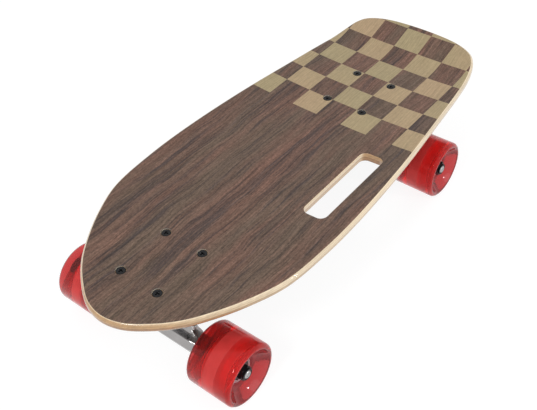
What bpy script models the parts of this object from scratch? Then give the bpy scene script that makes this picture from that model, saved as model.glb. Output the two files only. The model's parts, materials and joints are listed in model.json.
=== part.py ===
"""A mini cruiser skateboard: a kick-tail deck with a carry slot, two steering trucks, four wheels.

Frame: +X points to the nose, +Y to the side with the carry slot, +Z up. The origin lies on the
ground under the middle of the board's outline. Lengths are metres, angles are degrees.

Each truck is built in a frame of its own: the origin is the middle of the bolt pattern on the
baseplate's top face, +X points outboard (to the nose at the front, to the tail at the rear).
"""
from math import cos, pi, radians, sin, sqrt, tan

import bmesh
import bpy
from mathutils import Matrix, Vector

MM = 0.001

# Play between neighbouring pieces
GAP = 0.3 * MM

# Deck outline, before pressing. Stations of half width run back from the nose's tip, out from
# mid-wheelbase (towards the nose first) and forwards from the tail's end.
NOSE_LENGTH = 218.0 * MM
TAIL_LENGTH = 270.2 * MM
TAIL_END_HALF_WIDTH = 37.7 * MM
NOSE_STATIONS = (
    (4 * MM, 18.9 * MM),
    (18 * MM, 40.3 * MM),
    (34 * MM, 57.1 * MM),
    (54 * MM, 71.3 * MM),
    (82 * MM, 86.7 * MM),
    (114 * MM, 98.5 * MM),
)
MIDDLE_STATIONS = (
    (55 * MM, 103.2 * MM),
    (5 * MM, 103.3 * MM),
    (-70 * MM, 98.7 * MM),
)
TAIL_STATIONS = (
    (120 * MM, 89.9 * MM),
    (64 * MM, 82.9 * MM),
    (34 * MM, 77.6 * MM),
    (18 * MM, 71.6 * MM),
    (9 * MM, 63.4 * MM),
)
OUTLINE_STEPS = 2

# Deck section and kick tail
DECK_THICKNESS = 10.0 * MM
VENEER_THICKNESS = 0.6 * MM
EDGE_ROUNDING = 3.0 * MM
EDGE_SEGMENTS = 2
FLAT_BAND_HALF_WIDTH = 15.0 * MM
CONCAVE_RISE = 4.4 * MM
CONCAVE_STRIPS = 3
KICK_START = 208.0 * MM
KICK_RADIUS = 112.0 * MM
KICK_ANGLE = 16.4
KICK_STEPS = 4

# Carry slot, beside the middle of the deck
SLOT_LENGTH = 98.0 * MM
SLOT_WIDTH = 22.8 * MM
SLOT_CORNER = 7.0 * MM
SLOT_CENTRE_X = -19.0 * MM
SLOT_CENTRE_Y = 67.9 * MM

# Bolt patterns and their countersunk bolts
WHEELBASE = 292.8 * MM
BOLT_SPACING_X = 53.98 * MM
BOLT_SPACING_Y = 41.28 * MM
BOLT_HEAD_RADIUS = 4.5 * MM
BOLT_HEAD_DEPTH = 2.6 * MM
BOLT_SINK = 0.2 * MM
BOLT_RADIUS = 2.4 * MM
BOLT_END_PAST_NUT = 4.0 * MM
DECK_NUT_FLATS = 9.5 * MM
DECK_NUT_HEIGHT = 4.8 * MM

# Riser pad and baseplate
RISER_THICKNESS = 3.0 * MM
PLATE_END_MARGIN = 13.0 * MM
PLATE_SIDE_MARGIN = 7.4 * MM
PLATE_CORNER = 9.0 * MM
PLATE_THICKNESS = 6.0 * MM
SPINE_WIDTH = 20.0 * MM
SPINE_CORNER = 5.0 * MM
SPINE_RELIEF = 1.5 * MM

# Truck geometry: where the axle and the hanger's ring stand under the baseplate, and the slopes
TRUCK_HEIGHT = 49.5 * MM
AXLE_OFFSET = 11.5 * MM
RING_INSET = 12.0 * MM
STEERING_RISE = 31.0
KINGPIN_TILT = 12.0

# Kingpin stack, measured along the kingpin
KINGPIN_RADIUS = 4.76 * MM
KINGPIN_HEAD_RADIUS = 7.5 * MM
KINGPIN_HEAD_HEIGHT = 4.5 * MM
KINGPIN_HEAD_COVER = 1.5 * MM
KINGPIN_SHOULDER = 6.1 * MM
KINGPIN_END_PAST_NUT = 2.0 * MM
KINGPIN_NUT_FLATS = 14.3 * MM
KINGPIN_NUT_HEIGHT = 8.0 * MM
KINGPIN_BOSS_RADIUS = 12.0 * MM
BUSHING_RADIUS = 12.0 * MM
BUSHING_ROAD_END_RADIUS = 9.5 * MM
BUSHING_BOARDSIDE_HEIGHT = 15.0 * MM
BUSHING_ROADSIDE_HEIGHT = 11.0 * MM
WASHER_RADIUS = 10.5 * MM
WASHER_THICKNESS = 1.6 * MM

# Pivot: the hanger's nose in its cup in the baseplate
NOSE_RADIUS = 6.0 * MM
NOSE_BALL_BACK = 2.0 * MM
CUP_WALL = 1.9 * MM
CUP_LIP = 0.5 * MM
CUP_FLOOR_THICKNESS = 1.5 * MM
PIVOT_BOSS_WALL = 2.5 * MM
PIVOT_BOSS_MOUTH = 6.0 * MM
PIVOT_COVER = 1.8 * MM

# Hanger
HANGER_LENGTH = 127.0 * MM
ARM_RADIUS = 8.3 * MM
ARM_CHAMFER = 1.0 * MM
BARREL_SWELL = 1.7 * MM
BARREL_TAPER = 15.0
RING_WALL = 4.9 * MM
RING_THICKNESS = 10.0 * MM
RING_SEAT_DEPTH = 1.5 * MM
KINGPIN_SWING = 3.2 * MM
BUSHING_SEAT_PLAY = 0.6 * MM
BUSHING_BULGE_ROOM = 1.5 * MM
WING_REACH = 44.6 * MM
WING_SHOULDER = 10.0 * MM
WING_BACK = 8.0 * MM
WING_FRONT = 5.5 * MM
WING_CHAMFER = 2.0 * MM
WING_STEPS = 6
NOSE_ABOVE_WING = 3.9 * MM
CAST_OVERLAP = 2.0 * MM

# Axle, its nuts and the bearings
AXLE_RADIUS = 3.97 * MM
AXLE_CHAMFER = 0.8 * MM
AXLE_END_PAST_NUT = 0.5 * MM
SPEED_WASHER_RADIUS = 6.0 * MM
SPEED_WASHER_THICKNESS = 0.9 * MM
AXLE_NUT_FLATS = 12.7 * MM
AXLE_NUT_HEIGHT = 6.0 * MM
BEARING_RADIUS = 11.0 * MM
BEARING_WIDTH = 7.0 * MM
BEARING_SPACING = 10.3 * MM

# Wheels
WHEEL_RADIUS = 29.5 * MM
WHEEL_WIDTH = 45.7 * MM
WHEEL_CORNER = 3.5 * MM
WHEEL_LIP_WIDTH = 1.0 * MM
CORE_WALL = 3.0 * MM
CORE_BAND_HEIGHT = 4.7 * MM
CORE_BAND_WIDTH = 12.0 * MM
CORE_SHOULDER = 1.4 * MM

# Facets round a turned piece. With 26 of them one flat of the tread faces the ground.
TREAD_SIDES = 26
CORE_SIDES = 20
ROUND_SIDES = 16
SMALL_SIDES = 12
CORNER_STEPS = 3
WHEEL_CORNER_STEPS = 2

# Radius of a rectangle's corners at most, as a share of its shorter side
LARGEST_CORNER = 0.45

# Angles that tell a sharp edge from a smooth one, a rim from a bend and a bend from a flat
SHARP_ANGLE = radians(35)
RIM_ANGLE = radians(60)
FLAT_ANGLE = radians(0.2)

# Distance within which two corners of a mesh are one
WELD = 0.001 * MM

# Where the deck's blank is bent: strips each side of the flat band, ribs along the kick tail
WIDEST = max(half_width for _, half_width in MIDDLE_STATIONS)
CONCAVE_STRIP_WIDTH = (WIDEST - FLAT_BAND_HALF_WIDTH) / CONCAVE_STRIPS
KICK_STEP = radians(KICK_ANGLE) * KICK_RADIUS / KICK_STEPS

# Heights above the ground, from the wheels up
BASEPLATE_TOP = WHEEL_RADIUS + TRUCK_HEIGHT
DECK_TOP = BASEPLATE_TOP + GAP + RISER_THICKNESS + GAP + DECK_THICKNESS

# Deck bolts, heights in the truck's frame
BOLT_TOP = DECK_TOP - BASEPLATE_TOP - BOLT_SINK
DECK_NUT_TOP = -PLATE_THICKNESS - GAP
BOLT_FOOT = DECK_NUT_TOP - DECK_NUT_HEIGHT - BOLT_END_PAST_NUT

# Kingpin stack, heights above the ring's centre along the kingpin
RING_SEAT = RING_THICKNESS / 2 - RING_SEAT_DEPTH
BOARD_BUSHING_FOOT = RING_SEAT + GAP
BOARD_BUSHING_TOP = BOARD_BUSHING_FOOT + BUSHING_BOARDSIDE_HEIGHT
BOARD_WASHER_FOOT = BOARD_BUSHING_TOP + GAP
KINGPIN_SEAT = BOARD_WASHER_FOOT + WASHER_THICKNESS + GAP
KINGPIN_HEAD_FOOT = KINGPIN_SEAT + KINGPIN_SHOULDER
KINGPIN_HEAD_TOP = KINGPIN_HEAD_FOOT + KINGPIN_HEAD_HEIGHT
ROAD_BUSHING_TOP = -RING_SEAT - GAP
ROAD_BUSHING_FOOT = ROAD_BUSHING_TOP - BUSHING_ROADSIDE_HEIGHT
ROAD_WASHER_FOOT = ROAD_BUSHING_FOOT - GAP - WASHER_THICKNESS
KINGPIN_NUT_TOP = ROAD_WASHER_FOOT - GAP
KINGPIN_NUT_FOOT = KINGPIN_NUT_TOP - KINGPIN_NUT_HEIGHT
KINGPIN_FOOT = KINGPIN_NUT_FOOT - KINGPIN_END_PAST_NUT
KINGPIN_BORE = KINGPIN_RADIUS + GAP

# Pivot, heights past the pivot point along the steering axis
CUP_RADIUS = NOSE_RADIUS + GAP + CUP_WALL
CUP_MOUTH = PIVOT_BOSS_MOUTH + CUP_LIP
CUP_FLOOR = NOSE_RADIUS - NOSE_BALL_BACK + GAP
CUP_BACK = CUP_FLOOR + CUP_FLOOR_THICKNESS
SOCKET_RADIUS = CUP_RADIUS + GAP
SOCKET_BACK = CUP_BACK + GAP

# The ring hangs so low that the baseplate covers the kingpin's head, and the pivot so low that it
# covers the socket. The steering axis joins the two.
RISE = radians(STEERING_RISE)
TILT = radians(KINGPIN_TILT)
RING_DROP = KINGPIN_HEAD_TOP * cos(TILT) + KINGPIN_HEAD_RADIUS * sin(TILT) + KINGPIN_HEAD_COVER
PIVOT_DROP = SOCKET_BACK * sin(RISE) + SOCKET_RADIUS * cos(RISE) + PIVOT_COVER
PIVOT_REACH = (RING_DROP - PIVOT_DROP) / sin(RISE)

# Frames of the truck's pieces, in the truck's own frame
RING_CENTRE = Vector((-RING_INSET, 0, -RING_DROP))
STEERING_FRAME = Matrix.Translation(RING_CENTRE) @ Matrix.Rotation(-RISE, 4, "Y")
KINGPIN_FRAME = Matrix.Translation(RING_CENTRE) @ Matrix.Rotation(TILT, 4, "Y")
PIVOT_FRAME = (
    STEERING_FRAME @ Matrix.Translation((PIVOT_REACH, 0, 0)) @ Matrix.Rotation(pi / 2, 4, "Y")
)
AXLE_CENTRE = Vector((AXLE_OFFSET, 0, -TRUCK_HEIGHT))
AXLE_FRAME = Matrix.Translation(AXLE_CENTRE) @ Matrix.Rotation(-pi / 2, 4, "X")

# Axle stack, distances from the truck's middle plane
INNER_WASHER_START = HANGER_LENGTH / 2 + GAP
INNER_BEARING_START = INNER_WASHER_START + SPEED_WASHER_THICKNESS + GAP
WHEEL_CENTRE = INNER_BEARING_START + BEARING_WIDTH + BEARING_SPACING / 2
OUTER_BEARING_END = WHEEL_CENTRE + BEARING_SPACING / 2 + BEARING_WIDTH
AXLE_NUT_START = OUTER_BEARING_END + GAP
AXLE_TIP = AXLE_NUT_START + SPEED_WASHER_THICKNESS + AXLE_NUT_HEIGHT + AXLE_END_PAST_NUT
AXLE_BORE = AXLE_RADIUS + GAP

# Wheel section
HUB_HALF_WIDTH = BEARING_SPACING / 2 + BEARING_WIDTH
HUB_RADIUS = BEARING_RADIUS + GAP + CORE_WALL
CORE_BAND_RADIUS = HUB_RADIUS + CORE_BAND_HEIGHT

# Finishes: colour, roughness, metallic
FINISHES = {
    "maple_ply": ((0.76, 0.60, 0.40), 0.55, 0.0),
    "walnut_veneer": ((0.24, 0.17, 0.14), 0.5, 0.0),
    "riser_rubber": ((0.03, 0.03, 0.03), 0.8, 0.0),
    "cast_aluminium": ((0.62, 0.62, 0.63), 0.3, 1.0),
    "polished_aluminium": ((0.75, 0.75, 0.76), 0.18, 1.0),
    "zinc_steel": ((0.60, 0.60, 0.60), 0.3, 1.0),
    "black_steel": ((0.03, 0.03, 0.03), 0.4, 0.6),
    "pivot_urethane": ((0.05, 0.05, 0.05), 0.6, 0.0),
    "bushing_urethane": ((0.05, 0.05, 0.05), 0.5, 0.0),
    "wheel_urethane": ((0.62, 0.03, 0.02), 0.1, 0.0),
    "wheel_core": ((0.62, 0.12, 0.11), 0.4, 0.0),
    "bearing_steel": ((0.55, 0.55, 0.55), 0.25, 1.0),
}

SIDE_NAMES = {1: "left", -1: "right"}


def clear_scene():
    """Remove whatever the scene holds."""
    for obj in list(bpy.data.objects):
        bpy.data.objects.remove(obj, do_unlink=True)


def new_collection(name):
    collection = bpy.data.collections.new(name)
    bpy.context.scene.collection.children.link(collection)
    return collection


def finish(name):
    """The material of that name, made on its first use."""
    if name in bpy.data.materials:
        return bpy.data.materials[name]
    colour, roughness, metallic = FINISHES[name]
    material = bpy.data.materials.new(name)
    material.use_nodes = True
    shader = material.node_tree.nodes["Principled BSDF"]
    shader.inputs["Base Color"].default_value = (*colour, 1.0)
    shader.inputs["Roughness"].default_value = roughness
    shader.inputs["Metallic"].default_value = metallic
    material.diffuse_color = (*colour, 1.0)
    return material


def new_empty(name, parent, matrix):
    empty = bpy.data.objects.new(name, None)
    PARTS.objects.link(empty)
    empty.empty_display_size = 10 * MM
    empty.parent = parent
    empty.matrix_local = matrix
    return empty


def new_piece(name, mesh, finish_name, parent, matrix=None):
    """A named piece of the board. Repeated pieces share one mesh."""
    piece = bpy.data.objects.new(name, mesh)
    PARTS.objects.link(piece)
    if not mesh.materials:
        mesh.materials.append(finish(finish_name))
    piece.parent = parent
    piece.matrix_local = matrix or Matrix.Identity(4)
    return piece


def new_cutter(name, mesh, parent, matrix=None):
    """A solid that is only used to cut or join, and isn't a piece of the board."""
    cutter = bpy.data.objects.new(name, mesh)
    CUTTERS.objects.link(cutter)
    cutter.hide_render = True
    cutter.display_type = "WIRE"
    cutter.parent = parent
    cutter.matrix_local = matrix or Matrix.Identity(4)
    return cutter


def evaluated_mesh(obj):
    """The mesh that an object's modifiers or curve make, in its own frame."""
    bpy.context.view_layer.update()
    graph = bpy.context.evaluated_depsgraph_get()
    mesh = bpy.data.meshes.new_from_object(obj.evaluated_get(graph), depsgraph=graph)
    mesh.name = obj.name
    return mesh


def smooth_shading(mesh):
    mesh.shade_smooth()
    mesh.set_sharp_from_angle(angle=SHARP_ANGLE)
    return mesh


def turned(name, profile, sides, ring=False):
    """A mesh turned about Z from (radius, height) points that run down its outer side.

    A ring's profile is a closed loop; a solid's profile starts and ends on the axis.
    """
    lines = [(i, i + 1) for i in range(len(profile) - 1)]
    if ring:
        lines.append((len(profile) - 1, 0))
    outline = bpy.data.meshes.new(name)
    outline.from_pydata([(radius, 0, height) for radius, height in profile], lines, [])
    temporary = new_cutter(name, outline, None)
    screw = temporary.modifiers.new("turn", "SCREW")
    screw.steps = screw.render_steps = sides
    screw.use_merge_vertices = True
    screw.merge_threshold = WELD
    mesh = evaluated_mesh(temporary)
    bpy.data.objects.remove(temporary)
    return smooth_shading(mesh)


def cylinder(name, radius, low, high, sides=ROUND_SIDES):
    """A round bar along Z between two heights."""
    bar = bmesh.new()
    bmesh.ops.create_cone(
        bar,
        cap_ends=True,
        segments=sides,
        radius1=radius,
        radius2=radius,
        depth=high - low,
        matrix=Matrix.Translation((0, 0, (high + low) / 2)),
    )
    mesh = bpy.data.meshes.new(name)
    bar.to_mesh(mesh)
    bar.free()
    return mesh


def circle_points(centre_x, centre_y, radius, sides):
    turn = 2 * pi / sides
    return [
        (centre_x + radius * cos(i * turn), centre_y + radius * sin(i * turn)) for i in range(sides)
    ]


def rounded_rectangle(length, width, corner):
    """Points of a rectangle about the origin, with an arc at each corner that its sides limit."""
    corner = min(corner, LARGEST_CORNER * min(length, width))
    points = []
    for quarter, (side_x, side_y) in enumerate(((1, 1), (-1, 1), (-1, -1), (1, -1))):
        centre_x = side_x * (length / 2 - corner)
        centre_y = side_y * (width / 2 - corner)
        for step in range(CORNER_STEPS + 1):
            angle = (quarter + step / CORNER_STEPS) * pi / 2
            points.append((centre_x + corner * cos(angle), centre_y + corner * sin(angle)))
    return points


def extruded(name, loops, thickness):
    """A flat plate about Z = 0 from an outline and the outlines of its holes."""
    curve = bpy.data.curves.new(name, "CURVE")
    curve.dimensions = "2D"
    curve.fill_mode = "BOTH"
    curve.extrude = thickness / 2
    for loop in loops:
        spline = curve.splines.new("POLY")
        spline.points.add(len(loop) - 1)
        for point, (x, y) in zip(spline.points, loop):
            point.co = (x, y, 0, 1)
        spline.use_cyclic_u = True
    temporary = bpy.data.objects.new(name, curve)
    CUTTERS.objects.link(temporary)
    mesh = evaluated_mesh(temporary)
    bpy.data.objects.remove(temporary)
    bpy.data.curves.remove(curve)
    welded = bmesh.new()
    welded.from_mesh(mesh)
    bmesh.ops.remove_doubles(welded, verts=welded.verts, dist=WELD)
    bmesh.ops.recalc_face_normals(welded, faces=welded.faces)
    if len(loops) == 1:
        for side in (1, -1):
            cap = [face for face in welded.faces if face.normal.z * side > 0.5]
            bmesh.ops.dissolve_faces(welded, faces=cap)
    welded.to_mesh(mesh)
    welded.free()
    return mesh


def bevelled(mesh, width, segments):
    """The mesh with its sharp edges rounded, or chamfered where there is one segment."""
    temporary = new_cutter(mesh.name, mesh, None)
    bevel = temporary.modifiers.new("bevel", "BEVEL")
    bevel.width = width
    bevel.segments = segments
    bevel.limit_method = "ANGLE"
    bevel.angle_limit = RIM_ANGLE
    result = evaluated_mesh(temporary)
    bpy.data.objects.remove(temporary)
    return result


def moved(mesh, matrix):
    mesh.transform(matrix)
    return mesh


def hexagon(across_flats):
    return circle_points(0, 0, across_flats / sqrt(3), 6)


def combined(name, body, joined=(), cut=()):
    """One mesh from a body, the meshes joined to it and the meshes cut out of it."""
    base = new_cutter(name, body, None)
    tools = []
    for operation, meshes in (("UNION", joined), ("DIFFERENCE", cut)):
        for mesh in meshes:
            tool = new_cutter(mesh.name, mesh, None)
            tools.append(tool)
            boolean = base.modifiers.new(mesh.name, "BOOLEAN")
            boolean.operation = operation
            boolean.object = tool
    mesh = evaluated_mesh(base)
    for obj in [base, *tools]:
        bpy.data.objects.remove(obj)
    merged = bmesh.new()
    merged.from_mesh(mesh)
    bmesh.ops.dissolve_limit(merged, angle_limit=FLAT_ANGLE, verts=merged.verts, edges=merged.edges)
    merged.to_mesh(mesh)
    merged.free()
    return smooth_shading(mesh)


def smooth_loop(points, steps):
    """A closed curve through the points, each span's speed set by the root of its length."""
    count = len(points)
    corners = [Vector(point) for point in points]
    loop = []
    for i in range(count):
        before, start, end, after = (corners[(i + k) % count] for k in (-1, 0, 1, 2))
        t_before = sqrt((start - before).length)
        t_span = sqrt((end - start).length)
        t_after = sqrt((after - end).length)
        leave = (end - start) + t_span * (
            (start - before) / t_before - (end - before) / (t_before + t_span)
        )
        arrive = (end - start) + t_span * (
            (after - end) / t_after - (after - start) / (t_span + t_after)
        )
        for step in range(steps):
            t = step / steps
            loop.append(
                (2 * t**3 - 3 * t**2 + 1) * start
                + (t**3 - 2 * t**2 + t) * leave
                + (3 * t**2 - 2 * t**3) * end
                + (t**3 - t**2) * arrive
            )
    return loop


def deck_outline(inset):
    """The deck's outline on its unbent blank, moved inwards by the inset."""
    left = [(NOSE_LENGTH - back, half_width) for back, half_width in NOSE_STATIONS]
    left += MIDDLE_STATIONS
    left += [(forwards - TAIL_LENGTH, half_width) for forwards, half_width in TAIL_STATIONS]
    left.append((-TAIL_LENGTH, TAIL_END_HALF_WIDTH))
    right = [(x, -y) for x, y in reversed(left)]
    loop = smooth_loop([(NOSE_LENGTH, 0), *left, *right], OUTLINE_STEPS)
    points = []
    for i, point in enumerate(loop):
        along = (loop[(i + 1) % len(loop)] - loop[i - 1]).normalized()
        points.append((point.x - inset * along.y, point.y + inset * along.x))
    return points


def concave(y):
    """How far the deck's sides rise above its flat middle band: a parabola in straight strips."""
    strips_out = max(0.0, abs(y) - FLAT_BAND_HALF_WIDTH) / CONCAVE_STRIP_WIDTH
    whole = int(strips_out)
    rest = strips_out - whole
    return CONCAVE_RISE * (whole**2 + rest * (2 * whole + 1)) / CONCAVE_STRIPS**2


def kick_rib(past, height):
    """A point at a height on the rib that stands at a distance past the start of the kick tail."""
    angle = min(past / KICK_RADIUS, radians(KICK_ANGLE))
    straight = past - angle * KICK_RADIUS
    back = KICK_RADIUS * sin(angle) + straight * cos(angle)
    up = KICK_RADIUS * (1 - cos(angle)) + straight * sin(angle)
    return Vector((height * sin(angle) - back, 0, height * cos(angle) + up))


def deck_point(x, y, depth):
    """Press a point of the blank, at a depth under its top face, into the deck's shape."""
    height = concave(y) - depth
    ribs_past = max(0.0, -KICK_START - x) / KICK_STEP
    whole = int(ribs_past)
    near = kick_rib(whole * KICK_STEP, height)
    far = kick_rib((whole + 1) * KICK_STEP, height)
    return near.lerp(far, ribs_past - whole) + Vector((max(x, -KICK_START), y, 0))


def pressed_sheet(blank, middle):
    """Press a flat blank into the deck's shape, its middle plane at a depth under the deck's top.

    The blank is first sliced wherever the deck bends.
    """
    slices = [((-KICK_START - i * KICK_STEP, 0, 0), (1, 0, 0)) for i in range(KICK_STEPS + 1)]
    for i in range(CONCAVE_STRIPS):
        y = FLAT_BAND_HALF_WIDTH + i * CONCAVE_STRIP_WIDTH
        slices += [((0, y, 0), (0, 1, 0)), ((0, -y, 0), (0, 1, 0))]
    sheet = bmesh.new()
    sheet.from_mesh(blank)
    for point, normal in slices:
        geometry = [*sheet.verts, *sheet.edges, *sheet.faces]
        bmesh.ops.bisect_plane(sheet, geom=geometry, dist=WELD, plane_co=point, plane_no=normal)
    for vertex in sheet.verts:
        vertex.co = deck_point(vertex.co.x, vertex.co.y, middle - vertex.co.z)
    kick = [face for face in sheet.faces if face.calc_center_median().x < -KICK_START]
    bmesh.ops.triangulate(sheet, faces=kick)
    sheet.to_mesh(blank)
    sheet.free()
    return smooth_shading(blank)


def bolt_places():
    """The four places of a bolt pattern about its middle."""
    return [
        (x * BOLT_SPACING_X / 2, y * BOLT_SPACING_Y / 2) for x, y in ((1, 1), (1, -1), (-1, 1), (-1, -1))
    ]


def deck_bolt_mesh():
    """A countersunk bolt, its head's face at Z = 0."""
    foot = BOLT_FOOT - BOLT_TOP
    cone_foot = -BOLT_HEAD_DEPTH
    profile = [(0, 0), (BOLT_HEAD_RADIUS, 0), (BOLT_RADIUS, cone_foot), (BOLT_RADIUS, foot), (0, foot)]
    return turned("deck_bolt", profile, SMALL_SIDES)


def bolt_hole_mesh():
    """The countersunk hole of a deck bolt, its head's face at Z = 0."""
    head = BOLT_HEAD_RADIUS + GAP
    shank = BOLT_RADIUS + GAP
    above = DECK_THICKNESS
    below = -2 * DECK_THICKNESS
    cone_foot = -(BOLT_HEAD_DEPTH + GAP)
    profile = [(0, above), (head, above), (head, 0), (shank, cone_foot), (shank, below), (0, below)]
    return turned("bolt_hole", profile, SMALL_SIDES)


def build_deck(board, trucks):
    """The plywood core and its top veneer, with the carry slot and the countersunk holes."""
    deck = new_empty("deck_frame", board, Matrix.Translation((0, 0, DECK_TOP)))
    core_top = VENEER_THICKNESS + GAP
    core_blank = extruded("deck_core", [deck_outline(0)], DECK_THICKNESS - core_top)
    core_blank = bevelled(core_blank, EDGE_ROUNDING, EDGE_SEGMENTS)
    core_sheet = pressed_sheet(core_blank, (core_top + DECK_THICKNESS) / 2)
    core = new_piece("deck_core", core_sheet, "maple_ply", deck)
    veneer_blank = extruded("deck_top_veneer", [deck_outline(EDGE_ROUNDING)], VENEER_THICKNESS)
    veneer_sheet = pressed_sheet(veneer_blank, VENEER_THICKNESS / 2)
    veneer = new_piece("deck_top_veneer", veneer_sheet, "walnut_veneer", deck)
    slot_outline = rounded_rectangle(SLOT_LENGTH, SLOT_WIDTH, SLOT_CORNER)
    slot_place = Matrix.Translation((SLOT_CENTRE_X, SLOT_CENTRE_Y, 0))
    new_cutter("carry_slot", extruded("slot", [slot_outline], 4 * DECK_THICKNESS), deck, slot_place)
    hole = bolt_hole_mesh()
    for truck in trucks:
        for number, (x, y) in enumerate(bolt_places(), 1):
            place = Matrix.Translation((x, y, BOLT_TOP))
            new_cutter(f"{truck.name}_bolt_hole_{number}", hole, truck, place)
    for sheet in (core, veneer):
        holes = sheet.modifiers.new("slot_and_bolt_holes", "BOOLEAN")
        holes.operand_type = "COLLECTION"
        holes.collection = CUTTERS


def plate_loops():
    """The outline that the riser pad and the baseplate share, and their four bolt holes."""
    length = BOLT_SPACING_X + 2 * PLATE_END_MARGIN
    width = BOLT_SPACING_Y + 2 * PLATE_SIDE_MARGIN
    holes = [circle_points(x, y, BOLT_RADIUS + GAP, SMALL_SIDES) for x, y in bolt_places()]
    return [rounded_rectangle(length, width, PLATE_CORNER), *holes]


def trim_above(mesh, height):
    """Cut away what a mesh has above a height, and close the cut."""
    trimmed = bmesh.new()
    trimmed.from_mesh(mesh)
    cut = bmesh.ops.bisect_plane(
        trimmed,
        geom=[*trimmed.verts, *trimmed.edges, *trimmed.faces],
        dist=WELD,
        plane_co=(0, 0, height),
        plane_no=(0, 0, 1),
        clear_outer=True,
    )
    edges = [item for item in cut["geom_cut"] if isinstance(item, bmesh.types.BMEdge)]
    bmesh.ops.edgeloop_fill(trimmed, edges=edges)
    bmesh.ops.recalc_face_normals(trimmed, faces=trimmed.faces)
    trimmed.to_mesh(mesh)
    trimmed.free()


def baseplate_mesh():
    """The flat plate with its kingpin boss, its pivot boss and the spine between them."""
    middle = -PLATE_THICKNESS / 2
    far = 2 * RING_DROP
    plate = moved(extruded("plate", plate_loops(), PLATE_THICKNESS), Matrix.Translation((0, 0, middle)))
    boss_edge = RING_DROP - KINGPIN_SEAT * cos(TILT) - KINGPIN_BOSS_RADIUS * sin(TILT)
    spine_foot = -(boss_edge - SPINE_RELIEF)
    spine_outline = rounded_rectangle(BOLT_SPACING_X, SPINE_WIDTH, SPINE_CORNER)
    spine = extruded("spine", [spine_outline], middle - spine_foot)
    moved(spine, Matrix.Translation((0, 0, (middle + spine_foot) / 2)))
    kingpin_boss = cylinder("kingpin_boss", KINGPIN_BOSS_RADIUS, KINGPIN_SEAT, far)
    pivot_boss = cylinder(
        "pivot_boss", SOCKET_RADIUS + PIVOT_BOSS_WALL, -PIVOT_BOSS_MOUTH, SOCKET_BACK + PIVOT_BOSS_WALL
    )
    bosses = [moved(kingpin_boss, KINGPIN_FRAME), moved(pivot_boss, PIVOT_FRAME)]
    for boss in bosses:
        trim_above(boss, middle / 2)
    kingpin_bore = cylinder("kingpin_bore", KINGPIN_BORE, 0, far, SMALL_SIDES)
    head_recess = cylinder("head_recess", KINGPIN_HEAD_RADIUS + GAP, KINGPIN_HEAD_FOOT - GAP, far)
    socket = cylinder("pivot_socket", SOCKET_RADIUS, -2 * PIVOT_BOSS_MOUTH, SOCKET_BACK)
    cuts = [moved(kingpin_bore, KINGPIN_FRAME), moved(head_recess, KINGPIN_FRAME)]
    cuts.append(moved(socket, PIVOT_FRAME))
    return combined("baseplate", plate, [spine, *bosses], cuts)


def pivot_cup_mesh():
    inner = NOSE_RADIUS + GAP
    profile = [
        (0, CUP_BACK),
        (CUP_RADIUS, CUP_BACK),
        (CUP_RADIUS, -CUP_MOUTH),
        (inner, -CUP_MOUTH),
        (inner, CUP_FLOOR),
        (0, CUP_FLOOR),
    ]
    return turned("pivot_cup", profile, ROUND_SIDES)


def kingpin_mesh():
    profile = [
        (0, KINGPIN_HEAD_TOP),
        (KINGPIN_HEAD_RADIUS, KINGPIN_HEAD_TOP),
        (KINGPIN_HEAD_RADIUS, KINGPIN_HEAD_FOOT),
        (KINGPIN_RADIUS, KINGPIN_HEAD_FOOT),
        (KINGPIN_RADIUS, KINGPIN_FOOT),
        (0, KINGPIN_FOOT),
    ]
    return turned("kingpin", profile, ROUND_SIDES)


def kingpin_collar(name, top, foot, top_radius, foot_radius):
    """A bushing or a washer round the kingpin, between two heights."""
    profile = [(KINGPIN_BORE, top), (top_radius, top), (foot_radius, foot), (KINGPIN_BORE, foot)]
    return turned(name, profile, ROUND_SIDES, ring=True)


def washer_mesh(name, foot):
    return kingpin_collar(name, foot + WASHER_THICKNESS, foot, WASHER_RADIUS, WASHER_RADIUS)


def nut_mesh(name, across_flats, bore, height):
    """A hexagonal nut about Z = 0."""
    return extruded(name, [hexagon(across_flats), circle_points(0, 0, bore, SMALL_SIDES)], height)


def wing_mesh():
    """The hanger's upright web, its top edge a parabola that runs down to each arm."""
    depth_of_nose = RING_DROP - (RING_INSET + AXLE_OFFSET + WING_FRONT) * tan(RISE)
    height = TRUCK_HEIGHT - depth_of_nose - NOSE_ABOVE_WING
    span = WING_REACH - WING_SHOULDER
    left = []
    for i in range(WING_STEPS + 1):
        share = i / WING_STEPS
        left.append((WING_REACH - span * share**2, height * share))
    outline = left + [(-y, z) for y, z in reversed(left)]
    web = bevelled(extruded("wing", [outline], WING_FRONT + WING_BACK), WING_CHAMFER, 1)
    upright = Matrix(((0, 0, 1, 0), (1, 0, 0, 0), (0, 1, 0, 0), (0, 0, 0, 1)))
    forwards = Matrix.Translation(((WING_FRONT - WING_BACK) / 2, 0, 0))
    return moved(web, Matrix.Translation(AXLE_CENTRE) @ forwards @ upright)


def barrel_mesh():
    """The round bar round the axle, a little stouter under the wing."""
    end = HANGER_LENGTH / 2
    swell = ARM_RADIUS + BARREL_SWELL
    swell_end = WING_REACH - BARREL_SWELL / tan(radians(BARREL_TAPER))
    half = [
        (0, end),
        (ARM_RADIUS - ARM_CHAMFER, end),
        (ARM_RADIUS, end - ARM_CHAMFER),
        (ARM_RADIUS, WING_REACH),
        (swell, swell_end),
    ]
    return moved(turned("barrel", half + [(r, -y) for r, y in reversed(half)], ROUND_SIDES), AXLE_FRAME)


def ring_mesh():
    """The plate round the kingpin, straight-sided where it runs into the wing."""
    root = AXLE_OFFSET + RING_INSET - CAST_OVERLAP
    radius = BUSHING_RADIUS + BUSHING_SEAT_PLAY + RING_WALL
    turn = 2 * pi / ROUND_SIDES
    inboard = [(-radius * sin(i * turn), radius * cos(i * turn)) for i in range(ROUND_SIDES // 2 + 1)]
    outline = [(root, radius), *inboard, (root, -radius)]
    return moved(extruded("ring", [outline], RING_THICKNESS), KINGPIN_FRAME)


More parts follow.
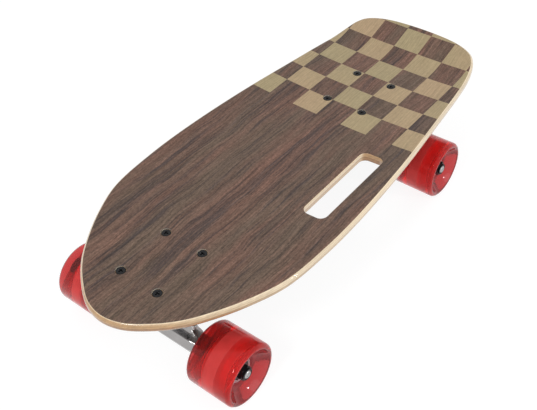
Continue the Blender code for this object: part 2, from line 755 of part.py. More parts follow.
def nose_mesh():
    """The nose on the steering axis, from the ring to its ball end in the pivot cup."""
    turn = 2 * pi / ROUND_SIDES
    ball = [
        (NOSE_RADIUS * sin(i * turn), NOSE_RADIUS * cos(i * turn) - NOSE_BALL_BACK)
        for i in range(ROUND_SIDES // 4 + 1)
    ]
    root = KINGPIN_RADIUS - PIVOT_REACH
    return moved(turned("nose", [*ball, (NOSE_RADIUS, root), (0, root)], ROUND_SIDES), PIVOT_FRAME)


def bushing_room_mesh():
    """The hollow through the hanger: the kingpin's bore, a bushing seat at each end, and above
    the board-side seat the wider room that lets the bushing bulge."""
    bore = KINGPIN_RADIUS + KINGPIN_SWING
    seat_radius = BUSHING_RADIUS + BUSHING_SEAT_PLAY
    room_radius = BUSHING_RADIUS + BUSHING_BULGE_ROOM
    room_foot = RING_THICKNESS / 2 + GAP
    room_top = 2 * RING_DROP
    profile = [
        (0, room_top),
        (room_radius, room_top),
        (room_radius, room_foot),
        (seat_radius, room_foot),
        (seat_radius, RING_SEAT),
        (bore, RING_SEAT),
        (bore, -RING_SEAT),
        (seat_radius, -RING_SEAT),
        (seat_radius, -RING_THICKNESS),
        (0, -RING_THICKNESS),
    ]
    return moved(turned("bushing_room", profile, ROUND_SIDES), KINGPIN_FRAME)


def hanger_mesh():
    """The cast hanger: axle barrel, wing, ring round the kingpin and nose into the pivot cup."""
    axle_bore = cylinder("axle_bore", AXLE_BORE, -HANGER_LENGTH, HANGER_LENGTH, SMALL_SIDES)
    cuts = [bushing_room_mesh(), moved(axle_bore, AXLE_FRAME)]
    mesh = combined("hanger", barrel_mesh(), [wing_mesh(), ring_mesh(), nose_mesh()], cuts)
    return moved(mesh, STEERING_FRAME.inverted())


def axle_mesh():
    """The steel axle with a speed washer outside each end of the hanger."""
    washer_end = INNER_WASHER_START + SPEED_WASHER_THICKNESS
    half = [
        (0, AXLE_TIP),
        (AXLE_RADIUS - AXLE_CHAMFER, AXLE_TIP),
        (AXLE_RADIUS, AXLE_TIP - AXLE_CHAMFER),
        (AXLE_RADIUS, washer_end),
        (SPEED_WASHER_RADIUS, washer_end),
        (SPEED_WASHER_RADIUS, INNER_WASHER_START),
        (AXLE_RADIUS, INNER_WASHER_START),
    ]
    return turned("axle", half + [(r, -y) for r, y in reversed(half)], ROUND_SIDES)


def axle_nut_mesh():
    """A lock nut and its speed washer, standing on Z = 0."""
    top = SPEED_WASHER_THICKNESS
    profile = [(AXLE_BORE, top), (SPEED_WASHER_RADIUS, top), (SPEED_WASHER_RADIUS, 0), (AXLE_BORE, 0)]
    washer = turned("speed_washer", profile, SMALL_SIDES, ring=True)
    foot = SPEED_WASHER_THICKNESS / 2
    height = SPEED_WASHER_THICKNESS + AXLE_NUT_HEIGHT - foot
    nut = nut_mesh("axle_nut", AXLE_NUT_FLATS, AXLE_BORE, height)
    return combined("axle_nut", moved(nut, Matrix.Translation((0, 0, foot + height / 2))), [washer])


def bearing_mesh():
    half = BEARING_WIDTH / 2
    profile = [(AXLE_BORE, half), (BEARING_RADIUS, half), (BEARING_RADIUS, -half), (AXLE_BORE, -half)]
    return turned("bearing", profile, ROUND_SIDES, ring=True)


def mirrored_ring(name, upper, sides):
    """A turned ring whose section is the same above and below Z = 0."""
    lower = [(radius, -height) for radius, height in reversed(upper)]
    return turned(name, upper + lower, sides, ring=True)


def wheel_core_mesh():
    """The hard core: a hub with a seat for a bearing at each end, and a raised band."""
    shoulder = BEARING_SPACING / 2 - GAP
    seat = BEARING_RADIUS + GAP
    band = CORE_BAND_WIDTH / 2
    upper = [
        (BEARING_RADIUS - CORE_SHOULDER, shoulder),
        (seat, shoulder),
        (seat, HUB_HALF_WIDTH),
        (HUB_RADIUS, HUB_HALF_WIDTH),
        (HUB_RADIUS, band),
        (CORE_BAND_RADIUS, band),
    ]
    return mirrored_ring("wheel_core", upper, CORE_SIDES)


def wheel_tyre_mesh():
    """The clear urethane tyre, dished on both faces and cast round the core."""
    band = CORE_BAND_WIDTH / 2 + GAP
    half = WHEEL_WIDTH / 2
    corner = WHEEL_RADIUS / cos(pi / TREAD_SIDES) - WHEEL_CORNER
    upper = [
        (CORE_BAND_RADIUS + GAP, band),
        (HUB_RADIUS + GAP, band),
        (HUB_RADIUS + GAP, HUB_HALF_WIDTH),
        (corner - WHEEL_LIP_WIDTH, half),
    ]
    for step in range(WHEEL_CORNER_STEPS + 1):
        angle = pi / 2 * (1 - step / WHEEL_CORNER_STEPS)
        upper.append((corner + WHEEL_CORNER * cos(angle), half - WHEEL_CORNER * (1 - sin(angle))))
    return mirrored_ring("wheel_tyre", upper, TREAD_SIDES)


def build_kingpin_stack(name, truck, meshes):
    """The kingpin, its nut, the two bushings and their washers, all fixed to the baseplate."""
    new_piece(f"{name}_kingpin", meshes["kingpin"], "zinc_steel", truck, KINGPIN_FRAME)
    middle = (KINGPIN_NUT_TOP + KINGPIN_NUT_FOOT) / 2
    nut_place = KINGPIN_FRAME @ Matrix.Translation((0, 0, middle))
    new_piece(f"{name}_kingpin_nut", meshes["kingpin_nut"], "zinc_steel", truck, nut_place)
    for side in ("boardside", "roadside"):
        for kind, finish_name in (("bushing", "bushing_urethane"), ("washer", "zinc_steel")):
            piece = f"{kind}_{side}"
            new_piece(f"{name}_{piece}", meshes[piece], finish_name, truck, KINGPIN_FRAME)


def build_wheel(name, hanger, side, meshes):
    """One wheel with its bearings on the axle's end, and the nut that holds it."""
    to_axle = STEERING_FRAME.inverted() @ AXLE_FRAME
    outwards = Matrix.Identity(4) if side == 1 else Matrix.Rotation(pi, 4, "X")
    nut_place = to_axle @ outwards @ Matrix.Translation((0, 0, AXLE_NUT_START))
    new_piece(f"{name}_axle_nut", meshes["axle_nut"], "black_steel", hanger, nut_place)
    hub_place = to_axle @ outwards @ Matrix.Translation((0, 0, WHEEL_CENTRE))
    hub = new_empty(f"{name}_wheel_hub", hanger, hub_place)
    new_piece(f"{name}_wheel_tyre", meshes["wheel_tyre"], "wheel_urethane", hub)
    new_piece(f"{name}_wheel_core", meshes["wheel_core"], "wheel_core", hub)
    reach = (BEARING_SPACING + BEARING_WIDTH) / 2
    for place, offset in (("inner", -reach), ("outer", reach)):
        at = Matrix.Translation((0, 0, offset))
        new_piece(f"{name}_{place}_bearing", meshes["bearing"], "bearing_steel", hub, at)


def build_truck(name, truck, left_side, meshes):
    """One truck under its bolt pattern. left_side is the truck's own side that is the board's left."""
    riser_place = Matrix.Translation((0, 0, GAP + RISER_THICKNESS / 2))
    new_piece(f"{name}_riser_pad", meshes["riser"], "riser_rubber", truck, riser_place)
    new_piece(f"{name}_baseplate", meshes["baseplate"], "cast_aluminium", truck)
    new_piece(f"{name}_pivot_cup", meshes["pivot_cup"], "pivot_urethane", truck, PIVOT_FRAME)
    build_kingpin_stack(name, truck, meshes)
    for number, (x, y) in enumerate(bolt_places(), 1):
        bolt_place = Matrix.Translation((x, y, BOLT_TOP))
        nut_place = Matrix.Translation((x, y, DECK_NUT_TOP - DECK_NUT_HEIGHT / 2))
        new_piece(f"{name}_deck_bolt_{number}", meshes["deck_bolt"], "black_steel", truck, bolt_place)
        new_piece(f"{name}_deck_nut_{number}", meshes["deck_nut"], "zinc_steel", truck, nut_place)
    hanger = new_empty(f"{name}_steering_axis", truck, STEERING_FRAME)
    new_piece(f"{name}_hanger", meshes["hanger"], "polished_aluminium", hanger)
    axle_place = STEERING_FRAME.inverted() @ AXLE_FRAME
    new_piece(f"{name}_axle", meshes["axle"], "zinc_steel", hanger, axle_place)
    for side in (1, -1):
        build_wheel(f"{name}_{SIDE_NAMES[side * left_side]}", hanger, side, meshes)


def truck_meshes():
    """Every mesh that the two trucks and their wheels share."""
    return {
        "riser": extruded("riser_pad", plate_loops(), RISER_THICKNESS),
        "baseplate": baseplate_mesh(),
        "pivot_cup": pivot_cup_mesh(),
        "kingpin": kingpin_mesh(),
        "kingpin_nut": nut_mesh("kingpin_nut", KINGPIN_NUT_FLATS, KINGPIN_BORE, KINGPIN_NUT_HEIGHT),
        "bushing_boardside": kingpin_collar(
            "bushing_boardside", BOARD_BUSHING_TOP, BOARD_BUSHING_FOOT, BUSHING_RADIUS, BUSHING_RADIUS
        ),
        "bushing_roadside": kingpin_collar(
            "bushing_roadside", ROAD_BUSHING_TOP, ROAD_BUSHING_FOOT, BUSHING_RADIUS, BUSHING_ROAD_END_RADIUS
        ),
        "washer_boardside": washer_mesh("washer_boardside", BOARD_WASHER_FOOT),
        "washer_roadside": washer_mesh("washer_roadside", ROAD_WASHER_FOOT),
        "deck_bolt": deck_bolt_mesh(),
        "deck_nut": nut_mesh("deck_nut", DECK_NUT_FLATS, BOLT_RADIUS + GAP, DECK_NUT_HEIGHT),
        "hanger": hanger_mesh(),
        "axle": axle_mesh(),
        "axle_nut": axle_nut_mesh(),
        "bearing": bearing_mesh(),
        "wheel_core": wheel_core_mesh(),
        "wheel_tyre": wheel_tyre_mesh(),
    }


def centre_over_origin(board):
    """Slide the board along X until the middle of its outline stands over the origin."""
    mesh = evaluated_mesh(bpy.data.objects["deck_core"])
    places = [vertex.co.x for vertex in mesh.vertices]
    board.location.x = -(min(places) + max(places)) / 2
    bpy.data.meshes.remove(mesh)


clear_scene()
PARTS = new_collection("mini_cruiser_skateboard")
CUTTERS = new_collection("cutters")
board_frame = new_empty("board_frame", None, Matrix.Identity(4))
front_place = Matrix.Translation((WHEELBASE / 2, 0, BASEPLATE_TOP))
rear_place = Matrix.Translation((-WHEELBASE / 2, 0, BASEPLATE_TOP)) @ Matrix.Rotation(pi, 4, "Z")
front_truck = new_empty("front_truck_frame", board_frame, front_place)
rear_truck = new_empty("rear_truck_frame", board_frame, rear_place)
shared = truck_meshes()
build_truck("front", front_truck, 1, shared)
build_truck("rear", rear_truck, -1, shared)
build_deck(board_frame, (front_truck, rear_truck))
centre_over_origin(board_frame)
bpy.context.view_layer.update()
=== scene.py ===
"""The looks of a mini cruiser skateboard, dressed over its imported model.

Frame: +X to the nose, +Y to the side with the carry slot, +Z up, the ground at Z = 0. Lengths
are metres, unless a name ends in _MM. Each truck has a frame of its own: the origin is the
middle of the bolt pattern on the baseplate's top face, and +X points outboard.
"""
import json
from itertools import product
from math import acos, ceil, cos, hypot, pi, radians, sin, sqrt, tan

import bmesh
import bpy
import numpy as np
from mathutils import Euler, Matrix, Vector


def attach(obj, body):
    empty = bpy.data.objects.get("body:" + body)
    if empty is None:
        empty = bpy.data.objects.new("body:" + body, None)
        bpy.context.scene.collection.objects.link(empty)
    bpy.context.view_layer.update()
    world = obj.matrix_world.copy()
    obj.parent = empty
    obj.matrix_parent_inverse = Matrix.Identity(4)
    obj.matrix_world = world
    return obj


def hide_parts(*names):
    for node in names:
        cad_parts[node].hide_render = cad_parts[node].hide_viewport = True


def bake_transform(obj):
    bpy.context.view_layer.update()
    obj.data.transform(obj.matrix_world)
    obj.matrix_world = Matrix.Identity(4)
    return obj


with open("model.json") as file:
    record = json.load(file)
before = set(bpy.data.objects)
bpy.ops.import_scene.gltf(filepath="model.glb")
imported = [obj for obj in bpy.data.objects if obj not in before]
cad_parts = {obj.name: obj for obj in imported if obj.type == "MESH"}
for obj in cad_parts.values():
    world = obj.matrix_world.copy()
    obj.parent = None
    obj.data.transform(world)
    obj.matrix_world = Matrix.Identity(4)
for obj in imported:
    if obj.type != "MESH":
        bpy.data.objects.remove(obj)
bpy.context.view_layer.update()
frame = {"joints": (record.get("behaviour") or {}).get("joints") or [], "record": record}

MM = 0.001
GAP = 0.3 * MM

# Camera
CAMERA_PLACE = (0.48068, 0.37250, 0.59164)
CAMERA_TURN = (47.048, 1.8785, 128.0575)
CAMERA_LENS_MM = 56.04

# Light: the surroundings, then each lamp's name, place, target, width and watts
AMBIENT = 0.62
LAMPS = (
    ("key", (1.25, 0.12, 1.22), (0, 0, 0.05), 0.4, 6.4),
    ("fill", (0.2, 1.7, 1.5), (0, 0, 0.05), 1.5, 4.5),
    ("spot", (-0.22, 1.05, 0.53), (0.02, 0.09, 0.01), 0.03, 1.6),
)
FLOOR_REACH = 8.0
FLOOR_DEPTH = 0.2 * MM
FLOOR_GREY = 0.8
FLOOR_SEEN_GREY = 0.20
FLOOR_GLOW = 0.88

# Deck, as its unbent blank
NOSE_LENGTH = 218.0 * MM
TAIL_LENGTH = 270.2 * MM
TAIL_END_HALF_WIDTH_MM = 37.7
NOSE_STATIONS_MM = ((4, 18.9), (18, 40.3), (34, 57.1), (54, 71.3), (82, 86.7), (114, 98.5))
MIDDLE_STATIONS_MM = ((55, 103.2), (5, 103.3), (-70, 98.7))
TAIL_STATIONS_MM = ((120, 89.9), (64, 82.9), (34, 77.6), (18, 71.6), (9, 63.4))
OUTLINE_STEPS = 9
DECK_THICKNESS = 10.0 * MM
VENEER_THICKNESS = 0.6 * MM
EDGE_RADIUS = 4.3 * MM
EDGE_STEPS = 7
EDGE_LOWER_START = pi / 2 + 0.01
SUPPORT = 0.5 * MM
SLOT_LENGTH = 98.0 * MM
SLOT_WIDTH = 22.8 * MM
SLOT_CORNER = 6.4 * MM
SLOT_CENTRE = (-19.0 * MM, 67.9 * MM)
SLOT_RIM = 2.0 * MM
PLIES = 7
# How many top plies are painted paler than the rest, as if lit from above: painted light
UPPER_PLIES = 3

# Deck, pressed
FLAT_BAND_HALF_WIDTH = 15.0 * MM
WIDEST = 103.3 * MM
CONCAVE_RISE = 4.4 * MM
CONCAVE_SLICE = 7.4 * MM
KICK_START = 208.0 * MM
KICK_RADIUS = 112.0 * MM
KICK_ANGLE = radians(16.4)
KICK_SLICES = 12

# Checker inlay on the tail
SQUARE_MM = 29.0
SQUARES_START_MM = (-178.0, 14.5)
LAST_SQUARES_MM = -91.0

# Bolts through the deck
BOLT_SPACING = (53.98 * MM, 41.28 * MM)
BOLT_HEAD_RADIUS = 4.5 * MM
BOLT_HEAD_DEPTH = 2.6 * MM
BOLT_SINK = 0.2 * MM
BOLT_RADIUS = 2.4 * MM
BOLT_HOLE = BOLT_RADIUS + GAP
BOLT_FOOT = -15.1 * MM
BOLT_SHANK = 10.0 * MM
HOLE_CHAMFER = 0.2 * MM
FOOT_CHAMFER = 0.3 * MM
RECESS_FOOT_MM = -2.2
RECESS_ROWS_MM = ((0.9, 0.35, -2.0), (2.35, 0.55, -0.3), (2.5, 0.65, 0.0))
DECK_NUT_FLATS = 9.5 * MM
DECK_NUT_HEIGHT = 4.8 * MM

# Lock nuts: the slope of the chamfer, then shares of half the width across flats and of the height
NUT_CHAMFER = 0.6
NUT_INSET = 0.05
NUT_COLLAR = 0.90
NUT_SHOULDER = 0.74

# Trucks
WHEELBASE = 292.8 * MM
RISER_THICKNESS = 3.0 * MM
PLATE_MARGINS = (13.0 * MM, 7.4 * MM)
PLATE_SIZE = [gap + 2 * margin for gap, margin in zip(BOLT_SPACING, PLATE_MARGINS)]
PLATE_CORNER = 9.0 * MM
PLATE_THICKNESS = 6.0 * MM
PLATE_HOLE_CHAMFER = 1.0 * MM
PLATE_SPARE = 4.0 * MM
SPINE_WIDTH = 20.0 * MM
SPINE_DEPTH = 9.4 * MM
SPINE_CORNER = 5.0 * MM
TRUCK_HEIGHT = 49.5 * MM
AXLE_OFFSET = 11.5 * MM
RING_INSET = 12.0 * MM
RISE = radians(31)
TILT = radians(12)
PIVOT_REACH = 42.21 * MM

# Kingpin stack, heights above the ring's centre along the kingpin
KINGPIN_RADIUS = 4.76 * MM
KINGPIN_BORE = KINGPIN_RADIUS + GAP
KINGPIN_HEAD_RADIUS = 7.5 * MM
KINGPIN_HEAD_TOP = 31.6 * MM
KINGPIN_HEAD_FOOT = 27.1 * MM
KINGPIN_BOSS_RADIUS = 12.0 * MM
KINGPIN_SEAT = 21.0 * MM
KINGPIN_SHANK_FOOT = -13.0 * MM
BOARD_WASHER_BACK = 20.7 * MM
BOARD_BUSHING = (3.8 * MM, 18.8 * MM)
ROAD_BUSHING = (-3.8 * MM, -14.8 * MM)
ROAD_WASHER_BACK = -16.7 * MM
KINGPIN_NUT_TOP = -17.0 * MM
KINGPIN_NUT_HEIGHT = 8.0 * MM
KINGPIN_NUT_FLATS = 14.3 * MM
KINGPIN_FOOT = -27.0 * MM
BUSHING_RADIUS = 12.0 * MM
ROAD_BUSHING_END_RADIUS = 9.5 * MM
BUSHING_ROWS = 8
BUSHING_PLAY = 1.9 * MM
BUSHING_FLARE = 1.6
BUSHING_BENDS = {
    "bushing_boardside": (9.0 * MM, 17.5 * MM),
    "bushing_roadside": (-7.5 * MM, -13.8 * MM),
}
WASHER_RADIUS = 10.5 * MM
WASHER_THICKNESS = 1.6 * MM

# Pivot, heights past the pivot point along the steering axis
NOSE_RADIUS = 6.0 * MM
NOSE_BALL_BACK = 2.0 * MM
NOSE_SWELL = 2.5 * MM
NOSE_SWELL_START = -9.0 * MM
NOSE_SWELL_LENGTH = 22.0 * MM
CUP_RADIUS = 8.2 * MM
SOCKET_RADIUS = CUP_RADIUS + GAP
CUP_MOUTH = 6.5 * MM
CUP_FLOOR = 4.3 * MM
CUP_BACK = 5.8 * MM
BOSS_MOUTH = 6.0 * MM
BOSS_WALL = 2.5 * MM

# Hanger
HANGER_LENGTH = 127.0 * MM
ARM_RADIUS = 8.3 * MM
ARM_SPARE = 3.0 * MM
FLAT_TURN = pi / 8
BARREL_SWELL = 1.7 * MM
BARREL_SWELL_LENGTH = 8.0 * MM
BARREL_SWELL_PAST_WING = 2.0 * MM
RING_RADIUS = 17.5 * MM
RING_THICKNESS = 10.0 * MM
RING_SEAT = 3.5 * MM
KINGPIN_SWING = 3.2 * MM
WING_REACH = 44.6 * MM
WING_SHOULDER = 10.0 * MM
WING_BACK = 8.0 * MM
WING_FRONT = 0.5 * MM
WING_HEIGHT = 29.0 * MM

# Axle stack, distances from the truck's middle plane
AXLE_RADIUS = 3.97 * MM
AXLE_TIP = 97.0 * MM
AXLE_THREAD = 8.0 * MM
DRILLING_ROWS_MM = ((0, 3.2), (1.1, 2.2), (1.9, 0))
AXLE_NUT_START = 89.6 * MM
AXLE_NUT_FLATS = 12.7 * MM
AXLE_NUT_HEIGHT = 6.0 * MM
SPEED_WASHER_RADIUS = 6.0 * MM
SPEED_WASHER_THICKNESS = 0.9 * MM
INNER_WASHER_START = 63.8 * MM

# Wheels
WHEEL_CENTRE = 77.15 * MM
WHEEL_RADIUS = 29.5 * MM
WHEEL_HALF_WIDTH = 22.85 * MM
WHEEL_CORNER = 3.5 * MM
WHEEL_LIP_WIDTH = 1.0 * MM
DISH_RADIUS = WHEEL_RADIUS - WHEEL_CORNER - WHEEL_LIP_WIDTH
BEARING_RADIUS = 11.0 * MM
BEARING_WIDTH = 7.0 * MM
BEARING_SPACING = 10.3 * MM
CORE_END = BEARING_SPACING / 2 + BEARING_WIDTH
HUB_RADIUS = 14.3 * MM
CORE_BAND_RADIUS = 26.3 * MM
CORE_BAND_HALF_WIDTH = 6.0 * MM
CORE_SHOULDER = 1.4 * MM
CORE_COVER = 0.4 * MM
DISH_HOLLOW = 1.0 * MM

# Fineness of round and cast shapes
ROUND_STEPS = 72
SMALL_STEPS = 48
CORE_STEPS = 96
TYRE_STEPS = 128
CORNER_STEPS = 4
SLOT_CORNER_STEPS = 8
PLATE_CORNER_STEPS = 6
THREAD_ROWS = 5
HOLE_STEPS = 32
SEAT_STEPS = 64
DISH_ROWS = 6
CAST_CELL = 0.9 * MM
CAST_SLOPE_STEP = 0.02 * MM
CAST_EVENING = (0.0, 0.0, 0.5, 0.5, 0.5, 0.5, 0.0, 0.0)
SMOOTH_ANGLE = radians(38)
CAST_SMOOTH_ANGLE = radians(32)

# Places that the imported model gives
RECORD = frame["record"]
BODY_OF = {node: body for body, nodes in RECORD["behaviour"]["bodies"].items() for node in nodes}
RING_PLACES = {joint["name"]: Vector(joint["pos_m"]) for joint in frame["joints"]}
BOARD_X = (RING_PLACES["front_steering"].x + RING_PLACES["rear_steering"].x) / 2
BASEPLATE_TOP = WHEEL_RADIUS + TRUCK_HEIGHT
DECK_TOP = BASEPLATE_TOP + 2 * GAP + RISER_THICKNESS + DECK_THICKNESS
RING_DROP = BASEPLATE_TOP - RING_PLACES["front_steering"].z

# Frames of the truck's pieces, in the truck's own frame
RING_CENTRE = Vector((-RING_INSET, 0, -RING_DROP))
KINGPIN_FRAME = Matrix.Translation(RING_CENTRE) @ Matrix.Rotation(TILT, 4, "Y")
STEERING_FRAME = Matrix.Translation(RING_CENTRE) @ Matrix.Rotation(-RISE, 4, "Y")
TO_PIVOT = Matrix.Translation((PIVOT_REACH, 0, 0)) @ Matrix.Rotation(pi / 2, 4, "Y")
PIVOT_FRAME = STEERING_FRAME @ TO_PIVOT
AXLE_CENTRE = Vector((AXLE_OFFSET, 0, -TRUCK_HEIGHT))
AXLE_FRAME = Matrix.Translation(AXLE_CENTRE) @ Matrix.Rotation(-pi / 2, 4, "X")
TURNED_OVER = Matrix.Rotation(pi, 4, "X")


# Meshes


def finished(mesh, shell, finishes, smooth_angle=SMOOTH_ANGLE):
    """The mesh, filled from a shell, with the finishes that a line of names gives."""
    bmesh.ops.recalc_face_normals(shell, faces=shell.faces)
    shell.to_mesh(mesh)
    shell.free()
    for finish in finishes.split():
        mesh.materials.append(FINISHES[finish])
    mesh.shade_smooth()
    mesh.set_sharp_from_angle(angle=smooth_angle)
    return mesh


def new_mesh(name, points, faces, finishes="", smooth_angle=SMOOTH_ANGLE):
    """A mesh with outward faces, smooth up to an angle between them."""
    mesh = bpy.data.meshes.new(name)
    mesh.from_pydata(points, [], faces)
    shell = bmesh.new()
    shell.from_mesh(mesh)
    return finished(mesh, shell, finishes, smooth_angle)


def paint(mesh, chooses):
    """Give each face the finish whose number chooses(centre) returns."""
    for face in mesh.polygons:
        face.material_index = int(chooses(face.center))


def turned(name, rows, finishes="", steps=ROUND_STEPS, ring=False):
    """A mesh swept round Z through rows that run down its outer side.

    A row is (radius, height), or a function of the angle that gives them. A ring's rows close on
    themselves, and a solid's start and end on the axis.
    """
    points, starts, sizes = [], [], []
    for row in rows:
        starts.append(len(points))
        sizes.append(1 if not callable(row) and row[0] == 0 else steps)
        for i in range(sizes[-1]):
            angle = 2 * pi * i / steps
            radius, height = row(angle) if callable(row) else row
            points.append((radius * cos(angle), radius * sin(angle), height))
    faces = []
    for k in range(len(rows) if ring else len(rows) - 1):
        below = (k + 1) % len(rows)
        for i in range(steps):
            corners = ((k, i), (below, i), (below, i + 1), (k, i + 1))
            face = [starts[row] + at % sizes[row] for row, at in corners]
            faces.append(list(dict.fromkeys(face)))
    return new_mesh(name, points, faces, finishes)


def rounded(corners, ring=False):
    """The points of a profile. A corner with a third number is rounded to that radius."""
    points = []
    for i, corner in enumerate(corners):
        here = Vector(corner[:2])
        inner = ring or 0 < i < len(corners) - 1
        if len(corner) == 2 or not inner:
            points.append(tuple(here))
            continue
        to_last = (Vector(corners[i - 1][:2]) - here).normalized()
        to_next = (Vector(corners[(i + 1) % len(corners)][:2]) - here).normalized()
        half = to_last.angle(to_next) / 2
        centre = here + (to_last + to_next).normalized() * corner[2] / sin(half)
        start = here + to_last * corner[2] / tan(half) - centre
        end = here + to_next * corner[2] / tan(half) - centre
        for step in range(CORNER_STEPS + 1):
            spoke = start.lerp(end, step / CORNER_STEPS).normalized() * corner[2]
            points.append(tuple(centre + spoke))
    return points


def mirrored(upper):
    """Rows or corners from their upper half."""

    def lowered(row):
        if callable(row):
            return lambda angle: lowered(row(angle))
        return (row[0], -row[1], *row[2:])

    return upper + [lowered(row) for row in reversed(upper)]


def ringed(name, corners, finishes, steps=ROUND_STEPS):
    """A ring, from the corners of its profile."""
    return turned(name, rounded(corners, ring=True), finishes, steps, ring=True)


def hexagon(across_flats, height, slope):
    """A row round a hexagon, its corners lower than the middles of its flats by that slope."""

    def row(angle):
        radius = across_flats / 2 / cos(angle % (pi / 3) - pi / 6)
        return radius, height - slope * (radius - across_flats / 2)

    return row


def thread(radius, high, low, pitch=0.9 * MM, depth=0.35 * MM):
    """Rows down a threaded bar."""
    count = ceil((high - low) / pitch * THREAD_ROWS)
    rows = []
    for k in range(count + 1):
        level = high + (low - high) * k / count

        def row(angle, level=level):
            phase = (level / pitch - angle / (2 * pi)) % 1
            return radius - depth * abs(2 * phase - 1), level

        rows.append(row)
    return rows


def sliced(shell, place, normal, **options):
    """Cut a shell's faces where a plane crosses them."""
    geometry = [*shell.verts, *shell.edges, *shell.faces]
    plane = {"plane_co": place, "plane_no": normal, "dist": 1e-7}
    return bmesh.ops.bisect_plane(shell, geom=geometry, **plane, **options)


def stacked(name, rims, finishes, slices=(), shape=None):
    """A closed sheet. Each rim is the loops down one of its edges: the outline first, then holes.

    The first loops bound its top face and the last ones its underside. slices are planes where
    the faces are cut, and shape moves each point. The unmoved place is kept in "blank".
    """
    sheet = bmesh.new()
    caps = ([], [])
    for rim in rims:
        loops = [[sheet.verts.new(point) for point in loop] for loop in rim]
        for upper, lower in zip(loops, loops[1:]):
            for i in range(len(upper)):
                sheet.faces.new((upper[i - 1], lower[i - 1], lower[i], upper[i]))
        for cap, loop in zip(caps, (loops[0], loops[-1])):
            cap += [sheet.edges.get((loop[i - 1], loop[i])) for i in range(len(loop))]
    for cap in caps:
        bmesh.ops.triangle_fill(sheet, use_beauty=True, use_dissolve=False, edges=cap)
    for place, normal in slices:
        sliced(sheet, place, normal)
    blank = sheet.verts.layers.float_vector.new("blank")
    for vertex in sheet.verts:
        vertex[blank] = vertex.co
        if shape:
            vertex.co = shape(vertex.co)
    return finished(bpy.data.meshes.new(name), sheet, finishes)


def rounded_rectangle(length, width, corner, centre=(0, 0), steps=PLATE_CORNER_STEPS):
    """Points round a rectangle with rounded corners."""
    points = []
    for quarter, (side_x, side_y) in enumerate(((1, 1), (-1, 1), (-1, -1), (1, -1))):
        middle_x = centre[0] + side_x * (length / 2 - corner)
        middle_y = centre[1] + side_y * (width / 2 - corner)
        for step in range(steps + 1):
            angle = (quarter + step / steps) * pi / 2
            points.append((middle_x + corner * cos(angle), middle_y + corner * sin(angle)))
    return points


def at_height(loop, height):
    return [(x, y, height) for x, y in loop]


def moved(mesh, matrix):
    mesh.transform(matrix)
    return mesh


def added(name, data):
    """A new object in the scene."""
    thing = bpy.data.objects.new(name, data)
    bpy.context.scene.collection.objects.link(thing)
    return thing


def cut(mesh, bores):
    """The mesh with bores cut out of it, each one a solid's rows, its steps and its place."""
    base = added(mesh.name, mesh)
    tools = []
    for rows, steps, place in bores:
        tools.append(added("bore", moved(turned("bore", rows, steps=steps), place)))
        boolean = base.modifiers.new("bore", "BOOLEAN")
        boolean.operation = "DIFFERENCE"
        boolean.solver = "MANIFOLD"
        boolean.object = tools[-1]
    bpy.context.view_layer.update()
    graph = bpy.context.evaluated_depsgraph_get()
    result = bpy.data.meshes.new_from_object(base.evaluated_get(graph), depsgraph=graph)
    result.name = mesh.name
    for thing in (base, *tools):
        bpy.data.objects.remove(thing)
    result.shade_smooth()
    result.set_sharp_from_angle(angle=CAST_SMOOTH_ANGLE)
    return result


# Cast shapes, from distances to simple solids that melt into each other


def seen_from(matrix, points):
    """Points in the frame that the matrix places."""
    inverse = np.array(matrix.inverted())
    return points @ inverse[:3, :3].T + inverse[:3, 3]


def melted(first, second, fillet):
    """The distance to two solids joined with a fillet."""
    share = np.clip(0.5 + 0.5 * (second - first) / fillet, 0, 1)
    return second * (1 - share) + first * share - fillet * share * (1 - share)


def common(first, second, rounding):
    """The distance to what two solids share, its rim rounded."""
    return -melted(-first, -second, rounding)


def slab_distance(points, length, width, corner, low, high, rounding):
    """The distance to a flat slab with rounded corners."""
    past_x = np.abs(points[..., 0]) - length / 2 + corner
    past_y = np.abs(points[..., 1]) - width / 2 + corner
    outside = np.hypot(np.maximum(past_x, 0), np.maximum(past_y, 0))
    side = outside + np.minimum(np.maximum(past_x, past_y), 0) - corner
    return common(side, np.maximum(low - points[..., 2], points[..., 2] - high), rounding)


def bar_distance(points, radius, *ends):
    """The distance to a round bar along Z."""
    return slab_distance(points, 2 * radius, 2 * radius, radius, *ends)


